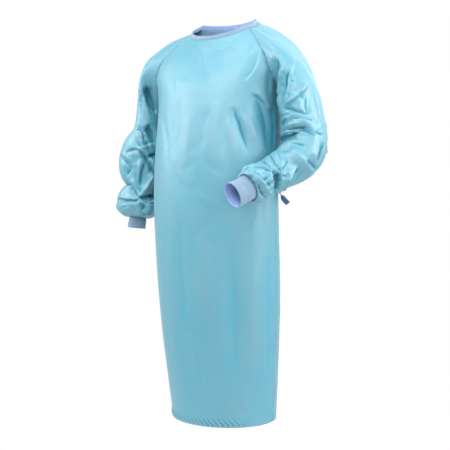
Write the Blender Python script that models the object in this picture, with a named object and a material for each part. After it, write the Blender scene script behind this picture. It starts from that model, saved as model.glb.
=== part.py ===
"""A worn surgical gown, hollow, as it hangs on a figure that isn't there.

Metres, +Z up. The wearer faces -Y, and +X is the wearer's left. The origin is the middle of the
neck opening, level with the place where the gown rests on the shoulders.
"""

import math
from collections import namedtuple

import bmesh
import bpy
from mathutils import Vector

# Cloth, knit and seams
WALL = 0.0015
KNIT_WALL = 0.0020
SEAM_GAP = 0.0003
WRAP_LIFT = 0.0024
FLAP_FLARE = 0.0030

# Numbers of rows and columns in each panel
BODY_STEPS = 18
YOKE_STEPS = 12
FRONT_COLUMNS = 26
NECK_STEPS = 6
CAP_RINGS = 8
ARM_RINGS = 19

# The body below the armpits, one row a level, hem first
Level = namedtuple("Level", "z side_z half_width centre_x front_y side_y back_y")
LEVELS = (
    Level(-1.232, -1.226, 0.166, 0.006, -0.140, -0.010, 0.118),
    Level(-1.120, -1.120, 0.176, 0.003, -0.152, -0.014, 0.122),
    Level(-0.970, -0.970, 0.189, -0.001, -0.166, -0.022, 0.121),
    Level(-0.830, -0.830, 0.197, -0.002, -0.180, -0.032, 0.114),
    Level(-0.690, -0.690, 0.200, -0.003, -0.192, -0.042, 0.105),
    Level(-0.550, -0.550, 0.201, -0.003, -0.202, -0.048, 0.098),
    Level(-0.420, -0.420, 0.200, -0.002, -0.203, -0.040, 0.098),
    Level(-0.268, -0.268, 0.198, 0.000, -0.190, -0.020, 0.105),
)

# The body above them. Each row is the edge that a sleeve joins, the middle line, and the arc between
Yoke = namedtuple("Yoke", "edge_x edge_y edge_z middle_y middle_z spread")
FRONT_YOKE = (
    Yoke(0.198, -0.020, -0.268, -0.190, -0.268, 90.0),
    Yoke(0.198, -0.056, -0.212, -0.180, -0.224, 80.0),
    Yoke(0.194, -0.078, -0.172, -0.166, -0.190, 72.0),
    Yoke(0.174, -0.082, -0.124, -0.146, -0.150, 66.0),
    Yoke(0.141, -0.062, -0.078, -0.121, -0.108, 62.0),
    Yoke(0.103, -0.030, -0.034, -0.097, -0.073, 62.0),
)
BACK_YOKE = (
    Yoke(0.198, -0.020, -0.268, 0.105, -0.268, 90.0),
    Yoke(0.199, 0.028, -0.206, 0.112, -0.210, 80.0),
    Yoke(0.193, 0.060, -0.152, 0.113, -0.155, 71.0),
    Yoke(0.170, 0.072, -0.100, 0.108, -0.104, 65.0),
    Yoke(0.135, 0.064, -0.049, 0.095, -0.056, 62.0),
    Yoke(0.100, 0.044, 0.000, 0.078, -0.004, 60.0),
)
NECK_SIDE = Vector((0.110, 0.004, -0.020))

# Where the back flaps end, as a share of the way from the middle of the back to a side seam
Overlap = namedtuple("Overlap", "under_edge outer_edge")
OVERLAPS = (
    Overlap(-0.52, 0.80),
    Overlap(-0.52, 0.79),
    Overlap(-0.50, 0.70),
    Overlap(-0.42, 0.42),
    Overlap(-0.26, 0.18),
)
BEFORE_UNDER = 6
UNDER_OUTER = 8
AFTER_OUTER = 4

# The way a sleeve's cloth leaves its seam, at the armpit, the front, the neck and the back, as for
# the wearer's left
Way = namedtuple("Way", "x y z")
LEFT_LEAVING = (
    Way(0.86, 0.00, -0.51),
    Way(0.93, -0.30, -0.22),
    Way(0.90, 0.00, -0.44),
    Way(0.93, 0.30, -0.22),
)
RIGHT_LEAVING = (
    Way(0.86, 0.00, -0.51),
    Way(0.93, -0.30, -0.22),
    Way(0.985, 0.00, -0.17),
    Way(0.93, 0.30, -0.22),
)
RIGHT_PULL = 1.80
LEFT_PULL = 1.22
ARRIVING_PULL = 1.0

# The sleeves below the shoulders: middle line, half width across, half depth, and roll in degrees
Arm = namedtuple("Arm", "x y z across deep roll")
RIGHT_ARM = (
    Arm(-0.2520, -0.018, -0.300, 0.043, 0.070, 0),
    Arm(-0.2580, -0.020, -0.340, 0.050, 0.071, 0),
    Arm(-0.2785, -0.022, -0.382, 0.069, 0.074, 0),
    Arm(-0.2850, -0.024, -0.425, 0.076, 0.078, 0),
    Arm(-0.2830, -0.028, -0.468, 0.072, 0.072, 0),
    Arm(-0.2720, -0.032, -0.512, 0.045, 0.054, 0),
    Arm(-0.2895, -0.034, -0.542, 0.071, 0.062, 0),
    Arm(-0.2920, -0.036, -0.570, 0.074, 0.064, 0),
)
LEFT_ARM = (
    Arm(0.2680, -0.020, -0.300, 0.062, 0.085, 0),
    Arm(0.2730, -0.016, -0.345, 0.067, 0.085, 0),
    Arm(0.2760, -0.017, -0.388, 0.070, 0.080, 0),
    Arm(0.2730, -0.038, -0.426, 0.067, 0.071, 0),
    Arm(0.2615, -0.077, -0.456, 0.058, 0.062, 8),
    Arm(0.2410, -0.123, -0.482, 0.053, 0.056, 16),
    Arm(0.2250, -0.170, -0.502, 0.049, 0.052, 24),
    Arm(0.2130, -0.218, -0.519, 0.044, 0.051, 30),
)

# How a sleeve turns in at its end and goes back over the cuff, 0 at the cloth and 1 at the cuff
Turn = namedtuple("Turn", "along inward")
TURNS = (Turn(0.016, 0.10), Turn(0.030, 0.42), Turn(0.037, 0.78))
LIP = 0.033
RIGHT_TUCK = 0.040
LEFT_TUCK = 0.006
GATHER_DEPTH = 0.0020

# Cuffs
CUFF_LENGTH = 0.084
CUFF_ACROSS = 0.024
CUFF_DEEP = 0.035
CUFF_RINGS = 4
CUFF_LAP = 0.004

# Neck band
BAND_HEIGHT = 0.015
BAND_LEAN = 0.45
BAND_SIDE_LEAN = 0.70
BAND_ROWS = 2

# Soft ridges, with a height above nought, and troughs, below it. Each bends through its middle
Fold = namedtuple("Fold", "start middle end width height")
FOLD_REACH = 0.05
FOLD_STEPS = 6
FRONT_FOLDS = (
    Fold((-0.050, -0.090, -0.070), (0.025, -0.145, -0.150), (0.045, -0.175, -0.225), 0.022, -0.006),
    Fold((-0.025, -0.105, -0.090), (0.030, -0.120, -0.112), (0.080, -0.090, -0.085), 0.015, -0.004),
    Fold((0.175, -0.095, -0.155), (0.185, -0.090, -0.220), (0.190, -0.065, -0.285), 0.020, 0.007),
    Fold((0.155, -0.125, -0.250), (0.180, -0.100, -0.320), (0.195, -0.065, -0.400), 0.026, -0.014),
    Fold((0.110, -0.165, -0.285), (0.135, -0.155, -0.355), (0.145, -0.150, -0.420), 0.018, -0.009),
    Fold((0.100, -0.170, -0.305), (0.108, -0.170, -0.380), (0.120, -0.170, -0.470), 0.017, 0.006),
    Fold((0.140, -0.145, -0.300), (0.160, -0.135, -0.350), (0.175, -0.120, -0.410), 0.017, 0.006),
    Fold((0.010, -0.190, -0.260), (0.010, -0.200, -0.355), (0.010, -0.205, -0.475), 0.030, 0.005),
    Fold((-0.085, -0.175, -0.270), (-0.075, -0.185, -0.350), (-0.065, -0.195, -0.440), 0.020, -0.005),
    Fold((-0.105, -0.175, -0.665), (-0.095, -0.155, -0.920), (-0.075, -0.130, -1.180), 0.020, 0.005),
    Fold((-0.040, -0.195, -0.635), (-0.040, -0.175, -0.855), (-0.035, -0.155, -1.080), 0.024, -0.006),
    Fold((0.040, -0.190, -0.660), (0.035, -0.180, -0.825), (0.030, -0.160, -1.000), 0.028, 0.007),
    Fold((0.110, -0.170, -0.635), (0.105, -0.150, -0.910), (0.100, -0.125, -1.175), 0.022, -0.007),
    Fold((0.160, -0.135, -0.545), (0.160, -0.120, -0.795), (0.150, -0.085, -1.125), 0.025, 0.008),
    Fold((0.195, -0.075, -0.605), (0.190, -0.065, -0.825), (0.175, -0.045, -1.095), 0.020, -0.007),
)
BACK_FOLDS = (
    Fold((-0.120, 0.098, -0.120), (-0.070, 0.108, -0.220), (-0.050, 0.105, -0.330), 0.024, -0.006),
    Fold((0.125, 0.098, -0.115), (0.090, 0.108, -0.200), (0.075, 0.102, -0.300), 0.022, -0.006),
    Fold((-0.110, 0.075, -0.420), (-0.115, 0.085, -0.780), (-0.100, 0.095, -1.160), 0.026, 0.007),
    Fold((-0.045, 0.098, -0.350), (-0.040, 0.108, -0.750), (-0.035, 0.118, -1.180), 0.026, -0.007),
    Fold((0.030, 0.100, -0.450), (0.035, 0.108, -0.800), (0.030, 0.118, -1.170), 0.027, 0.006),
    Fold((0.100, 0.080, -0.380), (0.105, 0.090, -0.720), (0.095, 0.100, -1.120), 0.024, -0.007),
)
RIGHT_FOLDS = (
    Fold((-0.225, -0.090, -0.195), (-0.218, -0.078, -0.230), (-0.210, -0.055, -0.270), 0.014, -0.009),
    Fold((-0.240, -0.085, -0.370), (-0.225, -0.070, -0.340), (-0.215, -0.060, -0.310), 0.014, -0.009),
    Fold((-0.310, -0.095, -0.420), (-0.260, -0.095, -0.395), (-0.225, -0.065, -0.385), 0.013, 0.006),
    Fold((-0.285, -0.100, -0.435), (-0.245, -0.088, -0.422), (-0.220, -0.060, -0.410), 0.012, -0.008),
    Fold((-0.310, -0.095, -0.435), (-0.295, -0.100, -0.465), (-0.280, -0.090, -0.495), 0.014, -0.007),
    Fold((-0.220, -0.060, -0.455), (-0.240, -0.070, -0.500), (-0.255, -0.085, -0.545), 0.013, 0.006),
    Fold((-0.325, -0.085, -0.525), (-0.265, -0.090, -0.522), (-0.225, -0.050, -0.515), 0.013, -0.006),
    Fold((-0.300, -0.100, -0.568), (-0.255, -0.090, -0.575), (-0.225, -0.065, -0.568), 0.012, -0.005),
    Fold((-0.335, 0.020, -0.395), (-0.300, 0.052, -0.415), (-0.255, 0.050, -0.405), 0.014, -0.008),
    Fold((-0.350, 0.010, -0.440), (-0.315, 0.045, -0.468), (-0.265, 0.045, -0.480), 0.014, 0.006),
    Fold((-0.350, -0.010, -0.560), (-0.325, 0.020, -0.568), (-0.285, 0.028, -0.560), 0.013, -0.006),
    Fold((-0.285, -0.035, -0.120), (-0.290, 0.000, -0.170), (-0.290, 0.020, -0.250), 0.018, -0.006),
)
LEFT_FOLDS = (
    Fold((0.220, -0.095, -0.130), (0.228, -0.100, -0.200), (0.225, -0.085, -0.285), 0.014, -0.010),
    Fold((0.265, -0.100, -0.190), (0.255, -0.105, -0.250), (0.235, -0.090, -0.315), 0.014, -0.010),
    Fold((0.268, -0.105, -0.228), (0.290, -0.090, -0.225), (0.310, -0.065, -0.225), 0.014, 0.007),
    Fold((0.305, -0.075, -0.245), (0.290, -0.095, -0.265), (0.268, -0.105, -0.290), 0.014, -0.008),
    Fold((0.215, -0.070, -0.330), (0.280, -0.105, -0.322), (0.330, -0.070, -0.352), 0.014, 0.008),
    Fold((0.218, -0.070, -0.372), (0.282, -0.095, -0.366), (0.340, -0.055, -0.395), 0.014, -0.009),
    Fold((0.245, -0.120, -0.415), (0.285, -0.105, -0.400), (0.330, -0.075, -0.425), 0.013, 0.006),
    Fold((0.220, -0.130, -0.425), (0.250, -0.180, -0.455), (0.265, -0.195, -0.485), 0.014, 0.007),
    Fold((0.215, -0.190, -0.455), (0.235, -0.225, -0.480), (0.250, -0.230, -0.510), 0.013, -0.007),
    Fold((0.275, -0.115, -0.410), (0.292, -0.130, -0.440), (0.300, -0.120, -0.465), 0.014, 0.007),
    Fold((0.265, -0.200, -0.480), (0.270, -0.190, -0.510), (0.260, -0.185, -0.545), 0.015, -0.012),
    Fold((0.345, 0.000, -0.325), (0.325, 0.045, -0.345), (0.285, 0.062, -0.335), 0.014, 0.006),
    Fold((0.345, -0.010, -0.385), (0.320, 0.035, -0.400), (0.280, 0.052, -0.392), 0.014, -0.008),
    Fold((0.320, -0.065, -0.455), (0.305, -0.080, -0.490), (0.275, -0.085, -0.510), 0.014, -0.007),
    Fold((0.290, -0.030, -0.110), (0.305, 0.000, -0.180), (0.310, 0.020, -0.260), 0.018, -0.006),
)

# The waist tie, knotted to a tab on the wearer's left. Shares past 1 are on the front panel
TIE_WIDTH = 0.015
TIE_WALL = 0.0015
TIE_HEIGHT = -0.528
TIE_START = 0.70
TAB_START = 1.10
KNOT_SHARE = 0.93
KNOT_SIZE = Vector((0.018, 0.020, 0.010))
ON_FLAP = WRAP_LIFT + FLAP_FLARE + WALL / 2 + SEAM_GAP + TIE_WALL / 2
TAIL_DROP = 0.032
TAIL_OUT = 0.026
TAIL_FORWARD = -0.004
TAIL_TWIST = 1.5
TAIL_STEPS = 8

Finish = namedtuple("Finish", "red green blue roughness")
CLOTH = Finish(0.36, 0.66, 0.74, 0.45)
KNIT = Finish(0.58, 0.70, 0.88, 0.85)
TAPE = Finish(0.16, 0.33, 0.55, 0.60)


def clear_scene():
    for item in list(bpy.data.objects):
        bpy.data.objects.remove(item, do_unlink=True)


def material(name, finish):
    made = bpy.data.materials.new(name)
    made.use_nodes = True
    colour = (finish.red, finish.green, finish.blue, 1)
    shader = made.node_tree.nodes["Principled BSDF"]
    shader.inputs["Base Color"].default_value = colour
    shader.inputs["Roughness"].default_value = finish.roughness
    shader.inputs["Metallic"].default_value = 0
    made.diffuse_color = colour
    return made


def mix(a, b, share):
    return a + (b - a) * share


def ease(value):
    value = min(max(value, 0.0), 1.0)
    return value * value * (3 - 2 * value)


def along(rows, place):
    """The row at a place, 0 at the first, on a smooth curve through all of them."""
    last = len(rows) - 1
    place = min(max(place, 0.0), last)
    k = min(int(place), last - 1)
    f = place - k
    four = [rows[min(max(k + step, 0), last)] for step in (-1, 0, 1, 2)]
    return type(rows[0])(*[catmull(a, b, c, d, f) for a, b, c, d in zip(*four)])


def around(rows, share):
    """The same on a closed loop, where a share of 1 is the first row again."""
    place = (share % 1.0) * len(rows)
    k = int(place)
    four = [rows[(k + step) % len(rows)] for step in (-1, 0, 1, 2)]
    return type(rows[0])(*[catmull(a, b, c, d, place - k) for a, b, c, d in zip(*four)])


def catmull(a, b, c, d, f):
    return b + 0.5 * f * (c - a + f * (2 * a - 5 * b + 4 * c - d + f * (3 * (b - c) + d - a)))


def arc_point(yoke, centre_x, share):
    """A point on the arc from the wearer's right edge, -1, through the middle, 0, to the left, 1."""
    spread = math.radians(yoke.spread)
    turn = share * spread
    towards = (math.cos(turn) - math.cos(spread)) / (1 - math.cos(spread))
    return Vector((
        centre_x + yoke.edge_x * math.sin(turn) / math.sin(spread),
        mix(yoke.edge_y, yoke.middle_y, towards),
        mix(yoke.edge_z, yoke.middle_z, towards),
    ))


def level_as_yoke(level, middle_y):
    return Yoke(level.half_width, level.side_y, level.side_z, middle_y, level.z, 90.0)


def body_row(row, front):
    """The section of a row, hem 0 to neck, as a yoke row and its middle's x."""
    if row <= BODY_STEPS:
        level = along(LEVELS, row * (len(LEVELS) - 1) / BODY_STEPS)
        return level_as_yoke(level, level.front_y if front else level.back_y), level.centre_x
    table = FRONT_YOKE if front else BACK_YOKE
    return along(table, (row - BODY_STEPS) * (len(table) - 1) / YOKE_STEPS), 0.0


def body_rows():
    return range(BODY_STEPS + YOKE_STEPS + 1)


def front_grid():
    shares = [2 * k / FRONT_COLUMNS - 1 for k in range(FRONT_COLUMNS + 1)]
    return [[arc_point(*body_row(row, True), share) for share in shares] for row in body_rows()]


def back_shares(row):
    """Where the columns of a back row lie, so that both flaps end on a column."""
    place = row / (BODY_STEPS + YOKE_STEPS) * (len(OVERLAPS) - 1)
    overlap = along(OVERLAPS, place)
    shares = [mix(-1, overlap.under_edge, k / BEFORE_UNDER) for k in range(BEFORE_UNDER)]
    shares += [mix(overlap.under_edge, overlap.outer_edge, k / UNDER_OUTER) for k in range(UNDER_OUTER)]
    return shares + [mix(overlap.outer_edge, 1, k / AFTER_OUTER) for k in range(AFTER_OUTER + 1)]


def back_grid():
    return [[arc_point(*body_row(row, False), share) for share in back_shares(row)] for row in body_rows()]


def mirrored(point, side):
    return Vector((point.x * side, point.y, point.z))


def raglan_ring(side):
    """A sleeve's first ring: from the armpit up the front seam, over the neck edge, and down the back."""
    top = BODY_STEPS + YOKE_STEPS
    front = [arc_point(*body_row(row, True), side) for row in range(BODY_STEPS, top + 1)]
    back = [arc_point(*body_row(row, False), side) for row in range(BODY_STEPS + 1, top + 1)]
    peak = mirrored(NECK_SIDE, side)
    pull = 2 * peak - (front[-1] + back[-1]) / 2
    neck = []
    for k in range(1, NECK_STEPS):
        f = k / NECK_STEPS
        neck.append(front[-1] * (1 - f) ** 2 + pull * (2 * f * (1 - f)) + back[-1] * f * f)
    return front + neck + back[::-1]


def frames(arm, side):
    """Each arm ring as its middle, its way outward, its way forward and its table row."""
    places = [k * (len(arm) - 1) / ARM_RINGS for k in range(ARM_RINGS + 1)]
    rows = [along(arm, place) for place in places]
    middles = [Vector(row[:3]) for row in rows]
    made = []
    outward = Vector((side, 0, 0))
    for k, middle in enumerate(middles):
        way = (middles[min(k + 1, ARM_RINGS)] - middles[max(k - 1, 0)]).normalized()
        outward = (outward - way * outward.dot(way)).normalized()
        forward = way.cross(outward) * side
        made.append((middle, way, outward, forward, rows[k]))
    return made


def ring_turns(count):
    """The angle of each ring point, a half turn at the armpit, 0 on the outer line."""
    return [math.pi * (1 - 2 * k / count) for k in range(count)]


def ellipse(middle, outward, forward, across, deep, roll, turn):
    """A point of a section whose axes are rolled about its middle line."""
    roll = math.radians(roll)
    wide = outward * math.cos(roll) + forward * math.sin(roll)
    tall = forward * math.cos(roll) - outward * math.sin(roll)
    return middle + wide * across * math.cos(turn - roll) + tall * deep * math.sin(turn - roll)


def sleeve_end(frame, tuck, turns):
    """The rings where the sleeve puffs over, turns in and lies back along the cuff."""
    middle, way, outward, forward, row = frame
    lap = (WALL + KNIT_WALL) / 2 + SEAM_GAP
    rings = []
    for turn in TURNS + (Turn(LIP, 1.0), Turn(LIP - tuck, 1.0)):
        here = middle + way * turn.along
        ring = []
        for k, angle in enumerate(turns):
            wave = GATHER_DEPTH * (-1) ** k * 4 * turn.inward * (1 - turn.inward)
            full = ellipse(here, outward, forward, row.across, row.deep, row.roll, angle)
            close_across, close_deep = CUFF_ACROSS + lap + wave, CUFF_DEEP + lap + wave
            close = ellipse(here, outward, forward, close_across, close_deep, row.roll, angle)
            ring.append(mix(full, close, turn.inward))
        rings.append(ring)
    return rings


def sleeve_grid(side, arm, tuck, ways, leaving_pull):
    start = raglan_ring(side)
    count = len(start)
    turns = ring_turns(count)
    arm_frames = frames(arm, side)
    rings = [
        [ellipse(middle, outward, forward, row.across, row.deep, row.roll, turn) for turn in turns]
        for middle, _, outward, forward, row in arm_frames
    ]
    way = arm_frames[0][1]
    cap = []
    for step in range(CAP_RINGS):
        f = step / CAP_RINGS
        ring = []
        for k, (first, last) in enumerate(zip(start, rings[0])):
            leaving = mirrored(Vector(around(ways, k / count)).normalized(), side)
            reach = (last - first).length
            ring.append(hermite(first, leaving * reach * leaving_pull, last, way * reach * ARRIVING_PULL, f))
        cap.append(ring)
    return cap + rings + sleeve_end(arm_frames[-1], tuck, turns)


def hermite(a, leaving, b, arriving, f):
    return (
        a * (2 * f**3 - 3 * f**2 + 1) + leaving * (f**3 - 2 * f**2 + f)
        + b * (3 * f**2 - 2 * f**3) + arriving * (f**3 - f**2)
    )


def cuff_grid(side, arm, tuck):
    middle, way, outward, forward, row = frames(arm, side)[-1]
    turns = ring_turns(len(raglan_ring(side)))
    start = LIP - tuck - CUFF_LAP
    rings = []
    for k in range(CUFF_RINGS + 1):
        here = middle + way * (start + CUFF_LENGTH * k / CUFF_RINGS)
        sizes = (CUFF_ACROSS, CUFF_DEEP, row.roll)
        rings.append([ellipse(here, outward, forward, *sizes, turn) for turn in turns])
    return rings


def faces_of(grid, closed):
    """Four corners, as (row, column), of each face of a grid."""
    columns = len(grid[0])
    for r in range(len(grid) - 1):
        for c in range(columns if closed else columns - 1):
            d = (c + 1) % columns
            yield (r, c), (r, d), (r + 1, d), (r + 1, c)


def key(point):
    return tuple(round(value, 6) for value in point)


def shared_normals(grids):
    """The outward normal at each point of several grids that meet, by its rounded place."""
    sums = {}
    for grid, closed, outside in grids:
        for corners in faces_of(grid, closed):
            a, b, c, d = [grid[r][k] for r, k in corners]
            area = (c - a).cross(d - b) * outside
            for point in (a, b, c, d):
                sums[key(point)] = sums.get(key(point), Vector()) + area
    return {place: total.normalized() for place, total in sums.items()}


def fold_line(fold):
    """Points along a fold's curve, which passes through its middle."""
    start, middle, end = (Vector(point) for point in (fold.start, fold.middle, fold.end))
    pull = 2 * middle - (start + end) / 2
    shares = [k / FOLD_STEPS for k in range(FOLD_STEPS + 1)]
    return [start * (1 - f) ** 2 + pull * (2 * f * (1 - f)) + end * f * f for f in shares]


def fold_height(point, normal, folds, lines):
    """How far the folds move a point out along its normal."""
    total = 0.0
    for fold, line in zip(folds, lines):
        nearest, best = None, FOLD_REACH**2
        for k, (first, last) in enumerate(zip(line, line[1:])):
            span = last - first
            share = min(max((point - first).dot(span) / span.length_squared, 0.0), 1.0)
            away = point - (first + span * share)
            if away.length_squared < best:
                nearest, best = (k + share) / FOLD_STEPS, away.length_squared
                off = away.dot(normal)
        if nearest is not None:
            aside = math.sqrt(max(best - off * off, 0)) / fold.width
            total += fold.height * math.exp(-aside * aside) * math.sqrt(4 * nearest * (1 - nearest))
    return total


def folded(grid, normals, folds):
    lines = [fold_line(fold) for fold in folds]
    made = []
    for row in grid:
        made.append([p + normals[key(p)] * fold_height(p, normals[key(p)], folds, lines) for p in row])
    return made


def outer_flap(grid, normals):
    """The flap on top, from the wearer's right seam to its free edge, lifted off the one below."""
    last = BEFORE_UNDER + UNDER_OUTER
    made = []
    for row in grid:
        lifted = []
        for column in range(last + 1):
            lift = WRAP_LIFT * ease(column / (BEFORE_UNDER - 1))
            lift += FLAP_FLARE * ease(column - last + 1)
            lifted.append(row[column] + normals[key(row[column])] * lift)
        made.append(lifted)
    return made


def neck_band(front, left, right, under, outer):
    """Rows of the band, from the under flap's corner round the neck to the outer flap's corner."""
    first = YOKE_STEPS
    last = YOKE_STEPS + NECK_STEPS
    path = list(under[-1])
    path += left[0][last - 1:first:-1]
    path += front[-1][::-1]
    path += right[0][first + 1:last]
    path += outer[-1]
    rows = []
    for r in range(BAND_ROWS + 1):
        rise = BAND_HEIGHT * r / BAND_ROWS
        rows.append([p + band_way(p) * rise for p in path])
    return rows


def band_way(point):
    """The way the band stands from the neckline: up, and a little towards the middle of the neck."""
    inward = Vector((-point.x, -point.y, 0)).normalized()
    lean = mix(BAND_LEAN, BAND_SIDE_LEAN, inward.x**4)
    return (Vector((0, 0, 1)) + inward * lean).normalized()


def pulled(grid, closed, seams):
    """The grid with its seam edges drawn back by half a seam gap."""
    made = [list(row) for row in grid]
    rows, columns = len(grid), len(grid[0])

    def draw(r, c, other_r, other_c):
        way = (grid[other_r][other_c] - grid[r][c]).normalized()
        made[r][c] = made[r][c] + way * SEAM_GAP / 2

    for c in range(columns):
        if "bottom" in seams:
            draw(0, c, 1, c)
        if "top" in seams:
            draw(rows - 1, c, rows - 2, c)
    for r in range(rows):
        if "first" in seams:
            draw(r, 0, r, 1)
        if "last" in seams:
            draw(r, columns - 1, r, columns - 2)
    return made


def place_at(height):
    """The place among the body's rows, 0 at the hem, that lies at a height below the armpits."""
    low, high = 0.0, float(BODY_STEPS)
    for _ in range(30):
        middle = (low + high) / 2
        if body_row(middle, True)[0].edge_z < height:
            low = middle
        else:
            high = middle
    return low


def side_frame(share):
    """A point at the waist on the wearer's left, with its ways forward, up and out."""
    def spot(place, at):
        return arc_point(*body_row(place, at > 1), at if at < 1 else 2 - at)

    place = place_at(TIE_HEIGHT)
    forward = (spot(place, share + 0.02) - spot(place, share - 0.02)).normalized()
    up = (spot(place + 0.1, share) - spot(place - 0.1, share)).normalized()
    return spot(place, share), forward, up, up.cross(forward).normalized()


def ribbon(stations):
    """A grid across a ribbon, from its middle points and the ways its width runs."""
    return [[point + width * TIE_WIDTH / 2 * side for side in (-1, 0, 1)] for point, width in stations]


def tie_run(first_share, last_share, inset):
    """The ribbon on the cloth between two shares, ending short of the knot."""
    stations = []
    for k in range(5):
        point, forward, up, out = side_frame(mix(first_share, last_share, k / 4))
        if k == 4:
            point = point + forward * inset
        stations.append((point + out * ON_FLAP, up))
    return ribbon(stations)


def tie_tail(knot_frame):
    """The free end, down and out from under the knot, which twists to show its flat side."""
    point, forward, up, out = knot_frame
    start = point + out * ON_FLAP - up * (KNOT_SIZE.y / 2 + 2 * SEAM_GAP)
    turned = (out * TAIL_DROP + up * TAIL_OUT).normalized()
    stations = []
    for k in range(TAIL_STEPS + 1):
        f = k / TAIL_STEPS
        here = start + out * TAIL_OUT * f**1.3 - up * TAIL_DROP * f + forward * TAIL_FORWARD * f
        stations.append((here, mix(forward, turned, ease(f * TAIL_TWIST)).normalized()))
    return ribbon(stations)


def lump(name, frame, finish):
    """A knot, as a rounded block whose flat sides face the ribbons."""
    point, forward, up, out = frame
    shape = bmesh.new()
    bmesh.ops.create_cube(shape, size=1)
    for vert in shape.verts:
        vert.co = Vector([a * b for a, b in zip(vert.co, KNOT_SIZE)])
    bmesh.ops.bevel(shape, geom=shape.edges, offset=0.0035, segments=2, affect="EDGES", profile=0.5)
    middle = point + out * ON_FLAP
    for vert in shape.verts:
        vert.co = middle + forward * vert.co.x + up * vert.co.y + out * vert.co.z
    return finished(name, shape, finish)


def finished(name, shape, finish):
    bmesh.ops.recalc_face_normals(shape, faces=shape.faces)
    bmesh.ops.triangulate(shape, faces=shape.faces)
    mesh = bpy.data.meshes.new(name)
    shape.to_mesh(mesh)
    shape.free()
    mesh.shade_smooth()
    mesh.set_sharp_from_angle(angle=math.radians(50))
    mesh.materials.append(material(name, finish))
    return bpy.data.objects.new(name, mesh)


def wall(name, grid, closed, outside, normals, seams, thickness, finish):
    """A closed wall of one thickness about a grid, as an object."""
    drawn = pulled(grid, closed, seams)
    shape = bmesh.new()
    skins = []
    for sign in (1, -1):
        skins.append([
            [shape.verts.new(p + normals[key(grid[r][c])] * sign * thickness / 2) for c, p in enumerate(row)]
            for r, row in enumerate(drawn)
        ])
    for corners in faces_of(grid, closed):
        for skin, turned in zip(skins, (outside > 0, outside < 0)):
            loop = [skin[r][c] for r, c in corners]
            shape.faces.new(loop if turned else loop[::-1])
    for edge in rims(grid, closed):
        for (r, c), (s, d) in zip(edge, edge[1:]):
            shape.faces.new((skins[0][r][c], skins[0][s][d], skins[1][s][d], skins[1][r][c]))
    return finished(name, shape, finish)


def rims(grid, closed):
    """The open edges of a grid, each as a list of (row, column)."""
    rows, columns = len(grid), len(grid[0])
    if closed:
        ring = list(range(columns)) + [0]
        return [[(0, c) for c in ring], [(rows - 1, c) for c in ring]]
    loop = [(0, c) for c in range(columns)]
    loop += [(r, columns - 1) for r in range(1, rows)]
    loop += [(rows - 1, c) for c in range(columns - 2, -1, -1)]
    loop += [(r, 0) for r in range(rows - 2, -1, -1)]
    return [loop]


def cuff(name, side, arm, tuck):
    rings = cuff_grid(side, arm, tuck)
    normals = shared_normals([(rings, True, -side)])
    return wall(name, rings, True, -side, normals, (), KNIT_WALL, KNIT)


def tie_pieces():
    knot = side_frame(KNOT_SHARE)
    half = KNOT_SIZE.x / 2 + SEAM_GAP
    runs = {
        "waist_tie": tie_run(TIE_START, KNOT_SHARE, -half),
        "side_tab": tie_run(TAB_START, KNOT_SHARE, half),
        "tie_tail": tie_tail(knot),
    }
    pieces = [lump("tie_knot", knot, TAPE)]
    for name, grid in runs.items():
        pieces.append(wall(name, grid, False, 1, shared_normals([(grid, False, 1)]), (), TIE_WALL, TAPE))
    return pieces


def build():
    clear_scene()
    gown = bpy.data.collections.new("surgical_gown")
    bpy.context.scene.collection.children.link(gown)
    front, back = front_grid(), back_grid()
    left = sleeve_grid(1, LEFT_ARM, LEFT_TUCK, LEFT_LEAVING, LEFT_PULL)
    right = sleeve_grid(-1, RIGHT_ARM, RIGHT_TUCK, RIGHT_LEAVING, RIGHT_PULL)
    plain = shared_normals([(front, False, 1), (back, False, -1), (left, True, -1), (right, True, 1)])
    folds = FRONT_FOLDS + BACK_FOLDS + RIGHT_FOLDS + LEFT_FOLDS
    front, back, left, right = [folded(grid, plain, folds) for grid in (front, back, left, right)]
    smooth = shared_normals([(front, False, 1), (back, False, -1), (left, True, -1), (right, True, 1)])
    under = [row[BEFORE_UNDER:] for row in back]
    outer = outer_flap(back, smooth)
    band = neck_band(front, left, right, under, outer)
    normals = shared_normals([
        (front, False, 1), (under, False, -1), (outer, False, -1), (left, True, -1), (right, True, 1),
        (band, False, -1),
    ])
    pieces = [
        wall("front_panel", front, False, 1, normals, ("top", "first", "last"), WALL, CLOTH),
        wall("back_flap_under", under, False, -1, normals, ("top", "last"), WALL, CLOTH),
        wall("back_flap_outer", outer, False, -1, normals, ("top", "first"), WALL, CLOTH),
        wall("sleeve_left", left, True, -1, normals, ("bottom",), WALL, CLOTH),
        wall("sleeve_right", right, True, 1, normals, ("bottom",), WALL, CLOTH),
        wall("neck_band", band, False, -1, normals, ("bottom",), WALL, KNIT),
    ]
    pieces.append(cuff("cuff_left", 1, LEFT_ARM, LEFT_TUCK))
    pieces.append(cuff("cuff_right", -1, RIGHT_ARM, RIGHT_TUCK))
    for piece in pieces + tie_pieces():
        gown.objects.link(piece)


build()
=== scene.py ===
"""The looks of the surgical gown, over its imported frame.

Metres, +Z up. The wearer faces -Y, and +X is the wearer's left. Each piece of cloth is a thin shell
on the middle of its solid, with finer folds, and stands for that solid.
"""

import math
import random
from collections import namedtuple

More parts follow.
